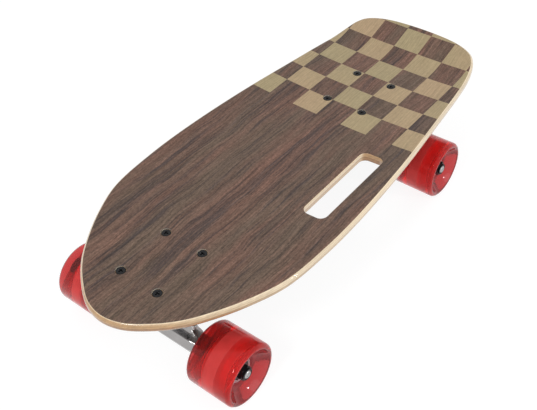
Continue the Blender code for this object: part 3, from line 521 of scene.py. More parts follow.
def cast(name, distance, low, high, finish):
    """A closed mesh where the distance is nought: one point to each cell of a grid that the surface
    crosses, then moved onto the surface and evened out along it."""
    axes = [np.arange(low[i] - 2 * CAST_CELL, high[i] + 3 * CAST_CELL, CAST_CELL) for i in range(3)]
    grid = np.stack(np.meshgrid(*axes, indexing="ij"), axis=-1)
    inside = distance(grid) < 0
    held = np.zeros([size - 1 for size in inside.shape], int)
    for x, y, z in product((0, 1), repeat=3):
        held += inside[x : x - 1 or None, y : y - 1 or None, z : z - 1 or None]
    crossed = (held > 0) & (held < 8)
    number = np.full(crossed.shape, -1)
    number[crossed] = np.arange(crossed.sum())
    points = grid[:-1, :-1, :-1][crossed] + CAST_CELL / 2
    faces = []
    for axis in range(3):
        solid = np.moveaxis(inside, axis, 0)[:, 1:-1, 1:-1]
        cells = np.moveaxis(number, axis, 0)
        changes = solid[:-1] != solid[1:]
        around = [cells[:, 1:, 1:], cells[:, :-1, 1:], cells[:, :-1, :-1], cells[:, 1:, :-1]]
        faces.append(np.stack([block[changes] for block in around], axis=-1))
    faces = np.concatenate(faces)
    ends = np.concatenate([faces, np.roll(faces, 1, axis=1)]).reshape(-1)
    others = np.concatenate([np.roll(faces, 1, axis=1), faces]).reshape(-1)
    neighbours = np.bincount(ends, minlength=len(points))[:, None]
    for evening in CAST_EVENING:
        if evening:
            middle = np.zeros_like(points)
            np.add.at(middle, ends, points[others])
            points += evening * (middle / neighbours - points)
        here = distance(points)
        steps = CAST_SLOPE_STEP * np.eye(3)
        slopes = [(distance(points + step) - here) / CAST_SLOPE_STEP for step in steps]
        slope = np.stack(slopes, axis=-1)
        points -= (here / (slope**2).sum(axis=1))[:, None] * slope
    return new_mesh(name, points.tolist(), faces.tolist(), finish, smooth_angle=pi)


def sliced_flat(mesh, place, normal):
    """The mesh without what stands beyond a plane, the cut closed."""
    body = bmesh.new()
    body.from_mesh(mesh)
    made = sliced(body, place, normal, clear_outer=True)
    edges = [item for item in made["geom_cut"] if isinstance(item, bmesh.types.BMEdge)]
    bmesh.ops.edgeloop_fill(body, edges=edges)
    return finished(mesh, body, "")


# Materials


def feed(socket, value):
    """Link a value to an input, or set it."""
    if isinstance(value, bpy.types.NodeSocket):
        socket.id_data.links.new(value, socket)
    elif socket.type == "RGBA":
        socket.default_value = (*value, 1)
    else:
        socket.default_value = value


def new_node(tree, kind, inputs=(), **settings):
    """A shader node. inputs gives values or links by the number or the name of the input."""
    node = tree.nodes.new("ShaderNode" + kind)
    for name, value in settings.items():
        setattr(node, name, value)
    for name, value in dict(inputs).items():
        feed(node.inputs[name], value)
    return node


FINISHES = {}


class Look:
    """A finish: a node material on one Principled shader, with short calls for its nodes."""

    def __init__(self, name, where="Object", **settings):
        material = FINISHES[name] = bpy.data.materials.new(name)
        material.use_nodes = True
        self.tree = material.node_tree
        if where == "Object":
            self.place = self.node("TexCoord").outputs["Object"]
        else:
            self.place = self.node("Attribute", attribute_name=where).outputs["Vector"]
        self.surface(**settings)

    def node(self, kind, inputs=(), **settings):
        return new_node(self.tree, kind, inputs, **settings)

    def surface(self, **sockets):
        for socket, value in sockets.items():
            feed(self.tree.nodes["Principled BSDF"].inputs[socket.replace("_", " ")], value)

    def math(self, operation, *values):
        return self.node("Math", enumerate(values), operation=operation).outputs[0]

    def split(self, vector):
        return self.node("SeparateXYZ", {0: vector}).outputs

    def joined(self, *values):
        return self.node("CombineXYZ", enumerate(values)).outputs[0]

    def from_axis(self):
        """The distance from the piece's own Z axis."""
        x, y, _ = self.split(self.place)
        squares = self.math("ADD", self.math("MULTIPLY", x, x), self.math("MULTIPLY", y, y))
        return self.math("SQRT", squares)

    def noise(self, *per_mm, detail=2.0, roughness=0.5, seed=0.0, vector=None):
        """A noise between 0 and 1, of that many features per millimetre: along each axis, or
        along X and Y with none along Z, or the same along all three."""
        rates = per_mm * 3 if len(per_mm) == 1 else (*per_mm, 0.0)[:3]
        place = {"Vector": vector or self.place, "Scale": [1000 * rate for rate in rates]}
        place["Location"] = (seed * 7.3, seed * 3.1, seed * 5.7)
        at = self.node("Mapping", place).outputs[0]
        inputs = {"Vector": at, "Scale": 1.0, "Detail": detail, "Roughness": roughness}
        return self.node("TexNoise", inputs).outputs["Fac"]

    def ramp(self, value, low, high, to_low=0.0, to_high=1.0):
        """The value's place between low and high, eased and clamped, as to_low to to_high."""
        inputs = enumerate((value, low, high, to_low, to_high))
        return self.node("MapRange", inputs, interpolation_type="SMOOTHSTEP").outputs[0]

    def mix(self, share, first, second, kind="MIX"):
        inputs = {0: share, 6: first, 7: second}
        return self.node("Mix", inputs, data_type="RGBA", blend_type=kind).outputs[2]

    def shade(self, colour, *shades):
        """The colour times each shade."""
        for value in shades:
            inputs = {0: colour, "Scale": value}
            colour = self.node("VectorMath", inputs, operation="SCALE").outputs[0]
        return colour

    def relief(self, height, depth_mm):
        """Bumps as deep as that where the height goes from 0 to 1."""
        inputs = {"Strength": 1.0, "Distance": depth_mm * MM, "Height": height}
        self.surface(Normal=self.node("Bump", inputs).outputs[0])


def grain_place(look, wander_mm):
    """The blank's place, pushed across the grain as the fibres wander."""
    x, y, z = look.split(look.place)
    drift = look.noise(0.014, 0.018)
    shift = look.math("MULTIPLY", look.math("SUBTRACT", drift, 0.5), 2 * wander_mm * MM)
    return look.joined(x, look.math("ADD", y, shift), z)


def walnut_colour(look, grain):
    """Brown walnut, with faint grey and reddish bands, dark streaks, fine lines, flecks and open
    pores, and then how much of a pore each place is."""
    bands = look.noise(0.0050, 0.034, detail=4.0, roughness=0.62, seed=1.0, vector=grain)
    colour = look.mix(look.ramp(bands, 0.38, 0.66), (0.152, 0.104, 0.076), (0.200, 0.110, 0.081))
    streaks = look.noise(0.0085, 0.19, detail=4.0, roughness=0.68, seed=2.0, vector=grain)
    colour = look.mix(look.ramp(streaks, 0.47, 0.68, 0.0, 0.85), colour, (0.066, 0.049, 0.047))
    lines = look.noise(0.011, 0.42, detail=4.0, roughness=0.7, seed=3.0, vector=grain)
    fine = look.noise(0.035, 1.3, detail=3.0, roughness=0.6, seed=9.0, vector=grain)
    flecks = look.noise(0.48, 0.95, roughness=0.75, seed=5.0)
    pores = look.noise(0.06, 2.1, detail=1.0, seed=4.0, vector=grain)
    colour = look.shade(
        colour,
        look.ramp(lines, 0.34, 0.66, 0.72, 1.25),
        look.ramp(fine, 0.32, 0.68, 0.90, 1.12),
        look.ramp(flecks, 0.30, 0.70, 0.72, 1.30),
        look.ramp(pores, 0.60, 0.70, 1.0, 0.60),
    )
    return colour, look.ramp(pores, 0.60, 0.70)


def inlay_colour(look, grain, square):
    """Pale squares, each with a tint and a shade of its own."""
    tint = look.node("TexWhiteNoise", {"Vector": square}).outputs["Value"]
    clouds = look.noise(0.012, 0.03, seed=6.0)
    warmth = look.math("ADD", look.math("MULTIPLY", tint, 0.5), look.math("MULTIPLY", clouds, 0.6))
    colour = look.mix(look.ramp(warmth, 0.25, 0.85), (0.435, 0.352, 0.205), (0.500, 0.360, 0.220))
    lines = look.noise(0.02, 0.9, detail=4.0, roughness=0.65, seed=7.0, vector=grain)
    flecks = look.noise(0.30, 0.9, roughness=0.7, seed=5.0)
    shades = (look.ramp(lines, 0.30, 0.70, 0.84, 1.12), look.ramp(flecks, 0.30, 0.70, 0.92, 1.08))
    return look.shade(colour, *shades)


def walnut_veneer():
    """The top face: walnut, with a checker of pale squares on the tail."""
    look = Look("walnut_veneer", "blank", Specular_IOR_Level=0.20)
    grain = grain_place(look, 6.0)
    walnut, pore = walnut_colour(look, grain)
    place = look.split(look.place)
    square = []
    for value, start in zip(place, SQUARES_START_MM):
        cell = look.math("MULTIPLY_ADD", value, 1000 / SQUARE_MM, -start / SQUARE_MM)
        square.append(look.math("FLOOR", cell))
    half = look.math("MULTIPLY", look.math("ADD", *square), 0.5)
    even = look.math("LESS_THAN", look.math("FRACT", half), 0.25)
    on_tail = look.math("LESS_THAN", place[0], LAST_SQUARES_MM * MM)
    pale = inlay_colour(look, grain, look.joined(*square))
    colour = look.mix(look.math("MULTIPLY", even, on_tail), walnut, pale)
    sheen = look.noise(0.02, 0.6, detail=3.0, seed=8.0, vector=grain)
    look.surface(Base_Color=colour, Roughness=look.ramp(sheen, 0.3, 0.7, 0.42, 0.58))
    look.relief(look.math("SUBTRACT", 1.0, pore), 0.03)


def maple_ply():
    """Maple plies with thin glue lines, darker at end grain, with a brown lowest one. The upper plies
    are paler and the lower ones tan, as if lit from above: painted light and shade. Where the veneer
    is cut at the bolt holes it is grey: partly the cut itself, partly a painted glint on its rim."""
    look = Look("maple_ply", "blank", Specular_IOR_Level=0.4, Coat_Weight=1.0, Coat_Roughness=0.13)
    z = look.split(look.place)[2]
    layer = look.math("MULTIPLY", z, -PLIES / DECK_THICKNESS)
    half = look.math("MULTIPLY", look.math("FLOOR", layer), 0.5)
    odd = look.math("GREATER_THAN", look.math("FRACT", half), 0.25)
    # Painted light and shade: the upper plies paler, the lower plies tan, as if lit from above
    upper = look.ramp(layer, UPPER_PLIES - 0.1, UPPER_PLIES + 0.1, 1.0, 0.0)
    colour = look.mix(upper, (0.700, 0.480, 0.270), (0.940, 0.765, 0.530))
    colour = look.shade(colour, look.ramp(odd, 0.0, 1.0, 1.0, 0.93))
    from_middle = look.math("SUBTRACT", look.math("FRACT", layer), 0.5)
    seam = look.ramp(look.math("ABSOLUTE", from_middle), 0.40, 0.49, 0.0, 0.5)
    colour = look.mix(seam, colour, (0.42, 0.26, 0.13))
    facing = look.split(look.node("TexCoord").outputs["Normal"])[0]
    end_grain = look.ramp(look.math("ABSOLUTE", facing), 0.25, 0.75)
    colour = look.mix(end_grain, colour, (0.62, 0.46, 0.31), "MULTIPLY")
    lowest = look.ramp(layer, PLIES - 0.55, PLIES - 0.45)
    colour = look.mix(lowest, colour, (0.110, 0.070, 0.048))
    # Grey where the veneer is cut at the bolt holes: partly the cut, partly a painted glint on its rim
    veneer_cut_and_glint = look.math("GREATER_THAN", z, -VENEER_THICKNESS * 0.9)
    colour = look.mix(veneer_cut_and_glint, colour, (0.26, 0.25, 0.23))
    long_grain = look.noise(0.006, 0.35, 0.5, detail=4.0, roughness=0.6, seed=1.0)
    clouds = look.noise(0.01, 0.02, 0.02, seed=2.0)
    shades = (look.ramp(long_grain, 0.3, 0.7, 0.86, 1.08), look.ramp(clouds, 0.3, 0.7, 0.93, 1.05))
    fibres = look.noise(0.25, 1.5, 2.5, seed=3.0)
    roughness = look.ramp(fibres, 0.3, 0.7, 0.32, 0.5)
    look.surface(Base_Color=look.shade(colour, *shades), Roughness=roughness)
    look.relief(fibres, 0.03)


def metal(name, colour, roughness, grain_per_mm=2.0, relief_mm=0.01, turned_lines=0.0):
    """Bare metal, its gloss a little uneven. turned_lines is how many there are per millimetre."""
    look = Look(name, Metallic=1.0)
    clouds = look.noise(0.06, detail=3.0, roughness=0.6, seed=1.0)
    height = look.noise(grain_per_mm, detail=3.0, seed=2.0)
    if turned_lines:
        radius = look.math("MULTIPLY", look.from_axis(), 1000 * turned_lines)
        lines = look.node("TexNoise", noise_dimensions="1D")
        feed(lines.inputs["Scale"], 1.0)
        feed(lines.inputs["W"], radius)
        height = lines.outputs["Fac"]
    mixed = look.math("MULTIPLY", look.math("ADD", clouds, height), 0.5)
    look.surface(
        Base_Color=look.shade(colour, look.ramp(clouds, 0.3, 0.7, 0.88, 1.0)),
        Roughness=look.ramp(mixed, 0.3, 0.7, roughness * 0.75, roughness * 1.3),
    )
    look.relief(height, relief_mm)


def coated(name, colour, roughness, grain_per_mm=1.5, relief_mm=0.02, spread=1.0, **settings):
    """A moulded or painted surface with a fine grain. spread is how much its tone varies."""
    look = Look(name, **settings)
    clouds = look.noise(0.08, detail=3.0, seed=1.0)
    grain = look.noise(grain_per_mm, seed=2.0)
    tone = look.ramp(clouds, 0.3, 0.7, 1 - 0.15 * spread, 1 + 0.25 * spread)
    look.surface(
        Base_Color=look.shade(colour, tone),
        Roughness=look.ramp(grain, 0.3, 0.7, roughness * 0.85, roughness * 1.15),
    )
    look.relief(grain, relief_mm)


def wheel_urethane():
    """Clear red urethane: light is lost on its way through, and the skin is a little wavy."""
    look = Look("wheel_urethane", Transmission_Weight=0.93, IOR=1.50, Specular_IOR_Level=0.15)
    slow = look.noise(0.09, seed=1.0)
    quick = look.noise(0.26, detail=1.0, seed=3.0)
    smears = look.noise(0.25, detail=3.0, seed=2.0)
    dish = look.ramp(look.from_axis(), DISH_RADIUS, DISH_RADIUS + 2 * MM, 1.0, 0.0)
    gloss = look.ramp(smears, 0.35, 0.75, 0.02, 0.08)
    # Painted shade: the dish faces are tinted far darker than the tread, though both are one urethane,
    # and the tread's reflections are tinted red to dim the white surroundings that it reflects
    look.surface(
        Base_Color=look.mix(dish, (1.00, 0.16, 0.145), (0.36, 0.044, 0.052)),
        Specular_Tint=look.mix(dish, (1.0, 0.35, 0.35), (1.0, 0.90, 0.92)),
        Roughness=look.math("MULTIPLY_ADD", dish, 0.06, gloss),
    )
    look.relief(look.math("MULTIPLY_ADD", quick, 0.3, slow), 0.10)
    inside = look.node("VolumeAbsorption", {"Color": (0.93, 0.10, 0.08), "Density": 100.0})
    feed(look.tree.nodes["Material Output"].inputs["Volume"], inside.outputs[0])


walnut_veneer()
maple_ply()
coated("riser_rubber", (0.020, 0.020, 0.021), 0.75, 2.5, 0.03)
metal("cast_aluminium", (0.56, 0.56, 0.57), 0.38, 1.4, 0.04)
# The hanger's colour is set far darker than polished aluminium's own, to stand in for the darker
# surroundings it reflects: painted shade
metal("polished_aluminium", (0.39, 0.375, 0.37), 0.20, 0.9, 0.006)
# Zinc's colour is set darker than the metal's own, to stand in for the darker surroundings it
# reflects: painted shade
metal("zinc_steel", (0.42, 0.42, 0.42), 0.28, 3.0, 0.008)
coated("black_steel", (0.008, 0.008, 0.009), 0.30, 3.0, 0.012, Specular_IOR_Level=0.22)
coated("pivot_urethane", (0.022, 0.022, 0.022), 0.5)
coated("bushing_urethane", (0.026, 0.026, 0.027), 0.34)
wheel_urethane()
coated("wheel_core", (0.94, 0.74, 0.78), 0.45, 1.0, 0.01, 0.25)
metal("bearing_steel", (0.66, 0.66, 0.66), 0.18, 3.0, 0.006, turned_lines=4.0)
coated("nylon_insert", (0.20, 0.20, 0.19), 0.5, 1.0, 0.01)
coated("bearing_shield", (0.012, 0.012, 0.013), 0.32, 2.0, 0.01)


# Placing


def dress(node, mesh, matrix, bends=None):
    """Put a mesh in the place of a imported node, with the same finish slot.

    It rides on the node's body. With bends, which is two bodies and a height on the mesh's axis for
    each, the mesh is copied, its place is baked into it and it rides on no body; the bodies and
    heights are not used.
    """
    piece = added(f"{node}_look", mesh.copy() if bends else mesh)
    piece.matrix_world = matrix
    if bends:
        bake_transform(piece)
    else:
        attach(piece, BODY_OF[node])
    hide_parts(node)


# Deck


def smooth_loop(points, steps):
    """A closed curve through the points, each span's speed set by the root of its length."""
    count = len(points)
    corners = [Vector(point) for point in points]
    loop = []
    for i in range(count):
        before, start, end, after = (corners[(i + k) % count] for k in (-1, 0, 1, 2))
        t_before = sqrt((start - before).length)
        t_span = sqrt((end - start).length)
        t_after = sqrt((after - end).length)
        leave = (end - start) + t_span * (
            (start - before) / t_before - (end - before) / (t_before + t_span)
        )
        arrive = (end - start) + t_span * (
            (after - end) / t_after - (after - start) / (t_span + t_after)
        )
        for step in range(steps):
            t = step / steps
            loop.append(
                (2 * t**3 - 3 * t**2 + 1) * start
                + (t**3 - 2 * t**2 + t) * leave
                + (3 * t**2 - 2 * t**3) * end
                + (t**3 - t**2) * arrive
            )
    return loop


def deck_outline(inset):
    """The deck's outline on its blank, moved inwards."""
    nose, tail = NOSE_LENGTH / MM, TAIL_LENGTH / MM
    left = [(nose - back, half_width) for back, half_width in NOSE_STATIONS_MM]
    left += MIDDLE_STATIONS_MM
    left += [(forwards - tail, half_width) for forwards, half_width in TAIL_STATIONS_MM]
    left.append((-tail, TAIL_END_HALF_WIDTH_MM))
    right = [(x, -y) for x, y in reversed(left)]
    loop = smooth_loop([(nose, 0), *left, *right], OUTLINE_STEPS)
    points = []
    for i, point in enumerate(loop):
        along = (loop[(i + 1) % len(loop)] - loop[i - 1]).normalized()
        points.append((point.x * MM - inset * along.y, point.y * MM + inset * along.x))
    return points


def deck_point(place):
    """Press a point of the blank, whose top face is at Z = 0, into the deck's shape."""
    x, y, z = place
    out = max(0.0, abs(y) - FLAT_BAND_HALF_WIDTH) / (WIDEST - FLAT_BAND_HALF_WIDTH)
    height = z + CONCAVE_RISE * out**2
    past = max(0.0, -KICK_START - x)
    angle = min(past / KICK_RADIUS, KICK_ANGLE)
    straight = past - angle * KICK_RADIUS
    back = (KICK_RADIUS - height) * sin(angle) + straight * cos(angle)
    up = KICK_RADIUS - (KICK_RADIUS - height) * cos(angle) + straight * sin(angle)
    return Vector((max(x, -KICK_START) - back, y, up))


def deck_slices():
    """The planes where the blank is cut so that it can bend."""
    step = KICK_ANGLE * KICK_RADIUS / KICK_SLICES
    planes = [((-KICK_START - i * step, 0, 0), (1, 0, 0)) for i in range(KICK_SLICES + 1)]
    for i in range(int((WIDEST - FLAT_BAND_HALF_WIDTH) / CONCAVE_SLICE) + 1):
        y = FLAT_BAND_HALF_WIDTH + i * CONCAVE_SLICE
        planes += [((0, y, 0), (0, 1, 0)), ((0, -y, 0), (0, 1, 0))]
    return planes


def slot_outline(growth):
    """The carry slot's outline, grown by a distance."""
    size = (SLOT_LENGTH + 2 * growth, SLOT_WIDTH + 2 * growth, SLOT_CORNER + growth)
    return rounded_rectangle(*size, SLOT_CENTRE, SLOT_CORNER_STEPS)


def rim_loops(outline, radius, steps, start, end, drop=0.0):
    """Loops down a rounded rim, between two angles from its top face. outline gives the loop at an
    inset, and drop is how far the arc is moved down."""
    angles = [start + (end - start) * step / steps for step in range(steps + 1)]
    rims = [(radius * (1 - sin(angle)), -drop - radius * (1 - cos(angle))) for angle in angles]
    return [at_height(outline(inset), height) for inset, height in rims]


def bolt_places():
    """The four places of a bolt pattern about its middle."""
    signs = product((1, -1), repeat=2)
    return [(x * BOLT_SPACING[0] / 2, y * BOLT_SPACING[1] / 2) for x, y in signs]


def hole_loops(centre, *rims):
    """Loops down a round hole, from the radius and the depth of each."""
    x, y = centre
    angles = [2 * pi * i / HOLE_STEPS for i in range(HOLE_STEPS)]
    return [
        [(x + radius * cos(angle), y + radius * sin(angle), -depth) for angle in angles]
        for radius, depth in rims
    ]


def build_deck():
    """The ply core and the veneer on it, with the slot and the countersunk holes."""
    veneer_rims, core_rims = [], []
    edge = (deck_outline, EDGE_RADIUS, EDGE_STEPS)
    slot = (slot_outline, SLOT_RIM, CORNER_STEPS)
    for rim, lower_start in ((edge, EDGE_LOWER_START), (slot, pi / 2)):
        outline, radius, _ = rim
        glue = acos(1 - VENEER_THICKNESS / radius)
        face = outline(radius + SUPPORT)
        glued_face = outline(radius * (1 - sin(glue)) + SUPPORT)
        veneer_rims.append([at_height(face, 0), *rim_loops(*rim, 0, glue)])
        core_rims.append(
            [
                at_height(glued_face, -VENEER_THICKNESS),
                *rim_loops(*rim, glue, pi / 2),
                *rim_loops(*rim, lower_start, pi, DECK_THICKNESS - 2 * radius),
                at_height(face, -DECK_THICKNESS),
            ]
        )
    head = BOLT_HEAD_RADIUS + GAP / 2
    cone_foot = BOLT_SINK + BOLT_HEAD_DEPTH + GAP
    foot = ((BOLT_HOLE, DECK_THICKNESS - FOOT_CHAMFER), (BOLT_HOLE + FOOT_CHAMFER, DECK_THICKNESS))
    holes = [(end * WHEELBASE / 2 + x, y) for end in (1, -1) for x, y in bolt_places()]
    for hole in holes:
        veneer_rims.append(hole_loops(hole, (head + HOLE_CHAMFER, 0), (head, VENEER_THICKNESS)))
        core_rims.append(hole_loops(hole, (head, VENEER_THICKNESS), (BOLT_HOLE, cone_foot), *foot))
    core = stacked("deck_core", core_rims, "maple_ply", deck_slices(), deck_point)
    veneer = stacked("veneer", veneer_rims, "walnut_veneer maple_ply", deck_slices(), deck_point)
    # The countersink rims in the veneer take maple_ply, which paints them grey: partly the cut veneer,
    # partly a painted glint
    chamfer = head + 0.8 * HOLE_CHAMFER
    paint(veneer, lambda at: any(hypot(at.x - x, at.y - y) < chamfer for x, y in holes))
    place = Matrix.Translation((BOARD_X, 0, DECK_TOP))
    dress("deck_core", core, place)
    dress("deck_top_veneer", veneer, place)


# Bolts and nuts


def cross_row(reach, half_width, height):
    """A row round a cross."""

    def row(angle):
        long, short = sorted((abs(cos(angle)), abs(sin(angle))), reverse=True)
        return min(reach / long, half_width / max(short, 1e-6)), height

    return row


def deck_bolt_mesh():
    """A countersunk bolt with a cross recess and a threaded end, its head's face at Z = 0."""
    foot = BOLT_FOOT - (DECK_TOP - BASEPLATE_TOP - BOLT_SINK)
    rows = [(0, RECESS_FOOT_MM * MM)]
    rows += [cross_row(*[size * MM for size in sizes]) for sizes in RECESS_ROWS_MM]
    cone = (BOLT_RADIUS, -BOLT_HEAD_DEPTH)
    rim = [(0, 0), (BOLT_HEAD_RADIUS, 0, 0.25 * MM), cone, (BOLT_RADIUS, -BOLT_SHANK)]
    rows += rounded(rim)[1:]
    rows += thread(BOLT_RADIUS, -BOLT_SHANK - 0.5 * MM, foot + 0.5 * MM)
    rows += [(BOLT_RADIUS - 0.7 * MM, foot), (0, foot)]
    return turned("deck_bolt", rows, "black_steel", SMALL_STEPS)


def lock_nut_mesh(name, across_flats, height, bore, finishes):
    """A lock nut standing on Z = 0: a chamfered hexagon, then a collar that holds a nylon ring."""
    flat = across_flats / 2
    inset = NUT_INSET * flat
    shoulder = NUT_SHOULDER * height
    collar = NUT_COLLAR * flat
    rows = [
        (bore + 0.4 * MM, 0),
        (flat - inset, 0),
        hexagon(across_flats, NUT_CHAMFER * inset, -NUT_CHAMFER),
        hexagon(across_flats, shoulder, NUT_CHAMFER),
    ]
    top = [
        (collar, shoulder),
        (collar, height, 0.5 * MM),
        (bore + 1.3 * MM, height, 0.2 * MM),
        (bore + 1.2 * MM, height - 0.5 * MM, 0.2 * MM),
        (bore, height - 0.6 * MM, 0.2 * MM),
        (bore, 0.4 * MM),
    ]
    mesh = turned(name, rows + rounded(top), finishes, SMALL_STEPS, ring=True)
    nylon = bore + 1.25 * MM
    paint(mesh, lambda at: at.z > shoulder and hypot(at.x, at.y) < nylon)
    return mesh


# Trucks


def riser_mesh():
    """The rubber pad between the deck and the baseplate."""
    low, high = GAP, GAP + RISER_THICKNESS
    edge, corner, waist = 0.5 * MM, 0.15 * MM, 0.2 * MM
    upper = [(edge, high), (corner, high - corner), (0, high - edge), (waist, (low + high) / 2)]
    lower = [(0, low + edge), (corner, low + corner), (edge, low)]
    rim = []
    for inset, height in upper + lower:
        size = [side - 2 * inset for side in PLATE_SIZE]
        rim.append(at_height(rounded_rectangle(*size, PLATE_CORNER - inset), height))
    ends = ((BOLT_HOLE, -high), (BOLT_HOLE, -low))
    holes = [hole_loops(place, *ends) for place in bolt_places()]
    return stacked("riser_pad", [rim, *holes], "riser_rubber")


def baseplate_distance(points):
    """The distance to the baseplate: plate, spine, kingpin boss and pivot boss."""
    top = PLATE_SPARE
    plate = slab_distance(points, *PLATE_SIZE, PLATE_CORNER, -PLATE_THICKNESS, top, 1.6 * MM)
    spine_size = (BOLT_SPACING[0], SPINE_WIDTH, SPINE_CORNER)
    spine = slab_distance(points, *spine_size, -SPINE_DEPTH, top, 2 * MM)
    at_kingpin = seen_from(KINGPIN_FRAME, points)
    boss = bar_distance(at_kingpin, KINGPIN_BOSS_RADIUS, KINGPIN_SEAT, 2 * RING_DROP, 1.2 * MM)
    boss = common(boss, points[..., 2] - top, 1 * MM)
    at_pivot = seen_from(PIVOT_FRAME, points)
    ends = (-BOSS_MOUTH, CUP_BACK + GAP + BOSS_WALL)
    socket = bar_distance(at_pivot, SOCKET_RADIUS + BOSS_WALL, *ends, 1.2 * MM)
    whole = melted(melted(plate, spine, 3 * MM), boss, 3 * MM)
    return melted(whole, socket, 4 * MM)


def baseplate_mesh():
    """The cast baseplate, machined flat on top, with its bores."""
    reach, side = PLATE_SIZE[0] / 2, PLATE_SIZE[1] / 2
    low, high = (-reach, -side, -RING_DROP), (reach, side, PLATE_SPARE)
    body = cast("baseplate", baseplate_distance, low, high, "cast_aluminium")
    sliced_flat(body, (0, 0, 0), (0, 0, 1))
    far = 2 * RING_DROP
    recess, step = KINGPIN_HEAD_RADIUS + GAP, KINGPIN_HEAD_FOOT - GAP
    foot = KINGPIN_SEAT - 1 * MM
    kingpin_bore = [(0, far), (recess, far), (recess, step), (KINGPIN_BORE, step)]
    kingpin_bore.append((KINGPIN_BORE, KINGPIN_SEAT + 0.5 * MM))
    kingpin_bore += [(KINGPIN_BORE + 1.5 * MM, foot), (0, foot)]
    back, mouth = CUP_BACK + GAP, -BOSS_MOUTH - 1.5 * MM
    pivot_bore = [(0, back), (SOCKET_RADIUS, back), (SOCKET_RADIUS, -BOSS_MOUTH + 0.5 * MM)]
    pivot_bore += [(SOCKET_RADIUS + 2 * MM, mouth), (0, mouth)]
    inside, past = PLATE_THICKNESS - PLATE_HOLE_CHAMFER, PLATE_THICKNESS + PLATE_HOLE_CHAMFER
    bolt_bore = [(0, inside), (BOLT_HOLE, inside), (BOLT_HOLE, -inside)]
    bolt_bore += [(BOLT_HOLE + 2 * PLATE_HOLE_CHAMFER, -past), (0, -past)]
    bores = [(kingpin_bore, SMALL_STEPS, KINGPIN_FRAME), (pivot_bore, SMALL_STEPS, PIVOT_FRAME)]
    bores += [(bolt_bore, HOLE_STEPS, Matrix.Translation((x, y, 0))) for x, y in bolt_places()]
    return cut(body, bores)


def hanger_distance(points):
    """The distance to the hanger: axle barrel with eight flats, wing, ring and nose."""
    at_axle = points - np.array(AXLE_CENTRE)
    x, y, z = at_axle[..., 0], np.abs(at_axle[..., 1]), at_axle[..., 2]
    share = np.clip((WING_REACH + BARREL_SWELL_PAST_WING - y) / BARREL_SWELL_LENGTH, 0, 1)
    radius = ARM_RADIUS + BARREL_SWELL * share**2 * (3 - 2 * share)
    steep = np.abs(x) * cos(FLAT_TURN) + np.abs(z) * sin(FLAT_TURN)
    shallow = np.abs(x) * sin(FLAT_TURN) + np.abs(z) * cos(FLAT_TURN)
    barrel = common(steep - radius, shallow - radius, 0.4 * MM)
    barrel = np.maximum(barrel, y - HANGER_LENGTH / 2 - ARM_SPARE)
    taper = WING_REACH - WING_SHOULDER
    share = np.clip(z / WING_HEIGHT, 0, 1)
    slope = 2 * taper * share / WING_HEIGHT
    side = (y - WING_REACH + taper * share**2) / np.sqrt(1 + slope**2)
    wing = common(side, z - WING_HEIGHT, 5 * MM)
    wing = common(wing, np.maximum(-WING_BACK - x, x - WING_FRONT), 4 * MM)
    wing = np.maximum(wing, -z)
    at_ring = seen_from(KINGPIN_FRAME, points)
    inboard = np.hypot(at_ring[..., 0], at_ring[..., 1]) - RING_RADIUS
    straight = np.abs(at_ring[..., 1]) - RING_RADIUS
    around = np.where(at_ring[..., 0] < 0, inboard, straight)
    root = at_ring[..., 0] - AXLE_OFFSET - RING_INSET
    faces = np.abs(at_ring[..., 2]) - RING_THICKNESS / 2
    ring = common(np.maximum(around, root), faces, 2 * MM)
    at_pivot = seen_from(PIVOT_FRAME, points)
    level = at_pivot[..., 2]
    along = np.clip(level, KINGPIN_RADIUS - PIVOT_REACH, -NOSE_BALL_BACK)
    swell = NOSE_SWELL * np.clip((NOSE_SWELL_START - level) / NOSE_SWELL_LENGTH, 0, 1)
    across = np.hypot(at_pivot[..., 0], at_pivot[..., 1])
    nose = np.hypot(across, level - along) - NOSE_RADIUS - swell
    whole = melted(melted(barrel, wing, 3 * MM), ring, 5 * MM)
    return melted(whole, nose, 5 * MM)


def hanger_mesh():
    """The cast and polished hanger, with machined arm ends, bushing seats and axle bore."""
    end = HANGER_LENGTH / 2
    low = (-RING_INSET - RING_RADIUS, -end - ARM_SPARE, -TRUCK_HEIGHT - 10 * MM)
    high = (PIVOT_REACH, end + ARM_SPARE, 0)
    body = cast("hanger", hanger_distance, low, high, "polished_aluminium")
    for side in (1, -1):
        sliced_flat(body, (0, side * end, 0), (0, side, 0))
    seat, room = BUSHING_RADIUS + 0.6 * MM, BUSHING_RADIUS + 1.5 * MM
    bore = KINGPIN_RADIUS + KINGPIN_SWING
    half = RING_THICKNESS / 2
    above = [(0, 2 * RING_DROP), (room, 2 * RING_DROP), (room, half + GAP)]
    seats = mirrored([(seat, half - 0.2 * MM), (seat, RING_SEAT), (bore, RING_SEAT)])
    below = [(room, -RING_THICKNESS), (0, -RING_THICKNESS)]
    hole = AXLE_RADIUS + GAP
    axle_bore = mirrored([(0, 100 * MM), (hole, 100 * MM)])
    bushing_room = ([*above, *seats, *below], SEAT_STEPS, KINGPIN_FRAME)
    return cut(body, [bushing_room, (axle_bore, HOLE_STEPS, AXLE_FRAME)])


def pivot_cup_mesh():
    """The urethane cup that holds the hanger's nose."""
    inner = NOSE_RADIUS + GAP
    outside = [(0, CUP_BACK), (CUP_RADIUS, CUP_BACK, 0.8 * MM), (CUP_RADIUS, -CUP_MOUTH, 0.5 * MM)]
    inside = [(inner, -CUP_MOUTH, 0.5 * MM), (inner, CUP_FLOOR, 2 * MM), (0, CUP_FLOOR)]
    return turned("pivot_cup", rounded(outside + inside), "pivot_urethane")


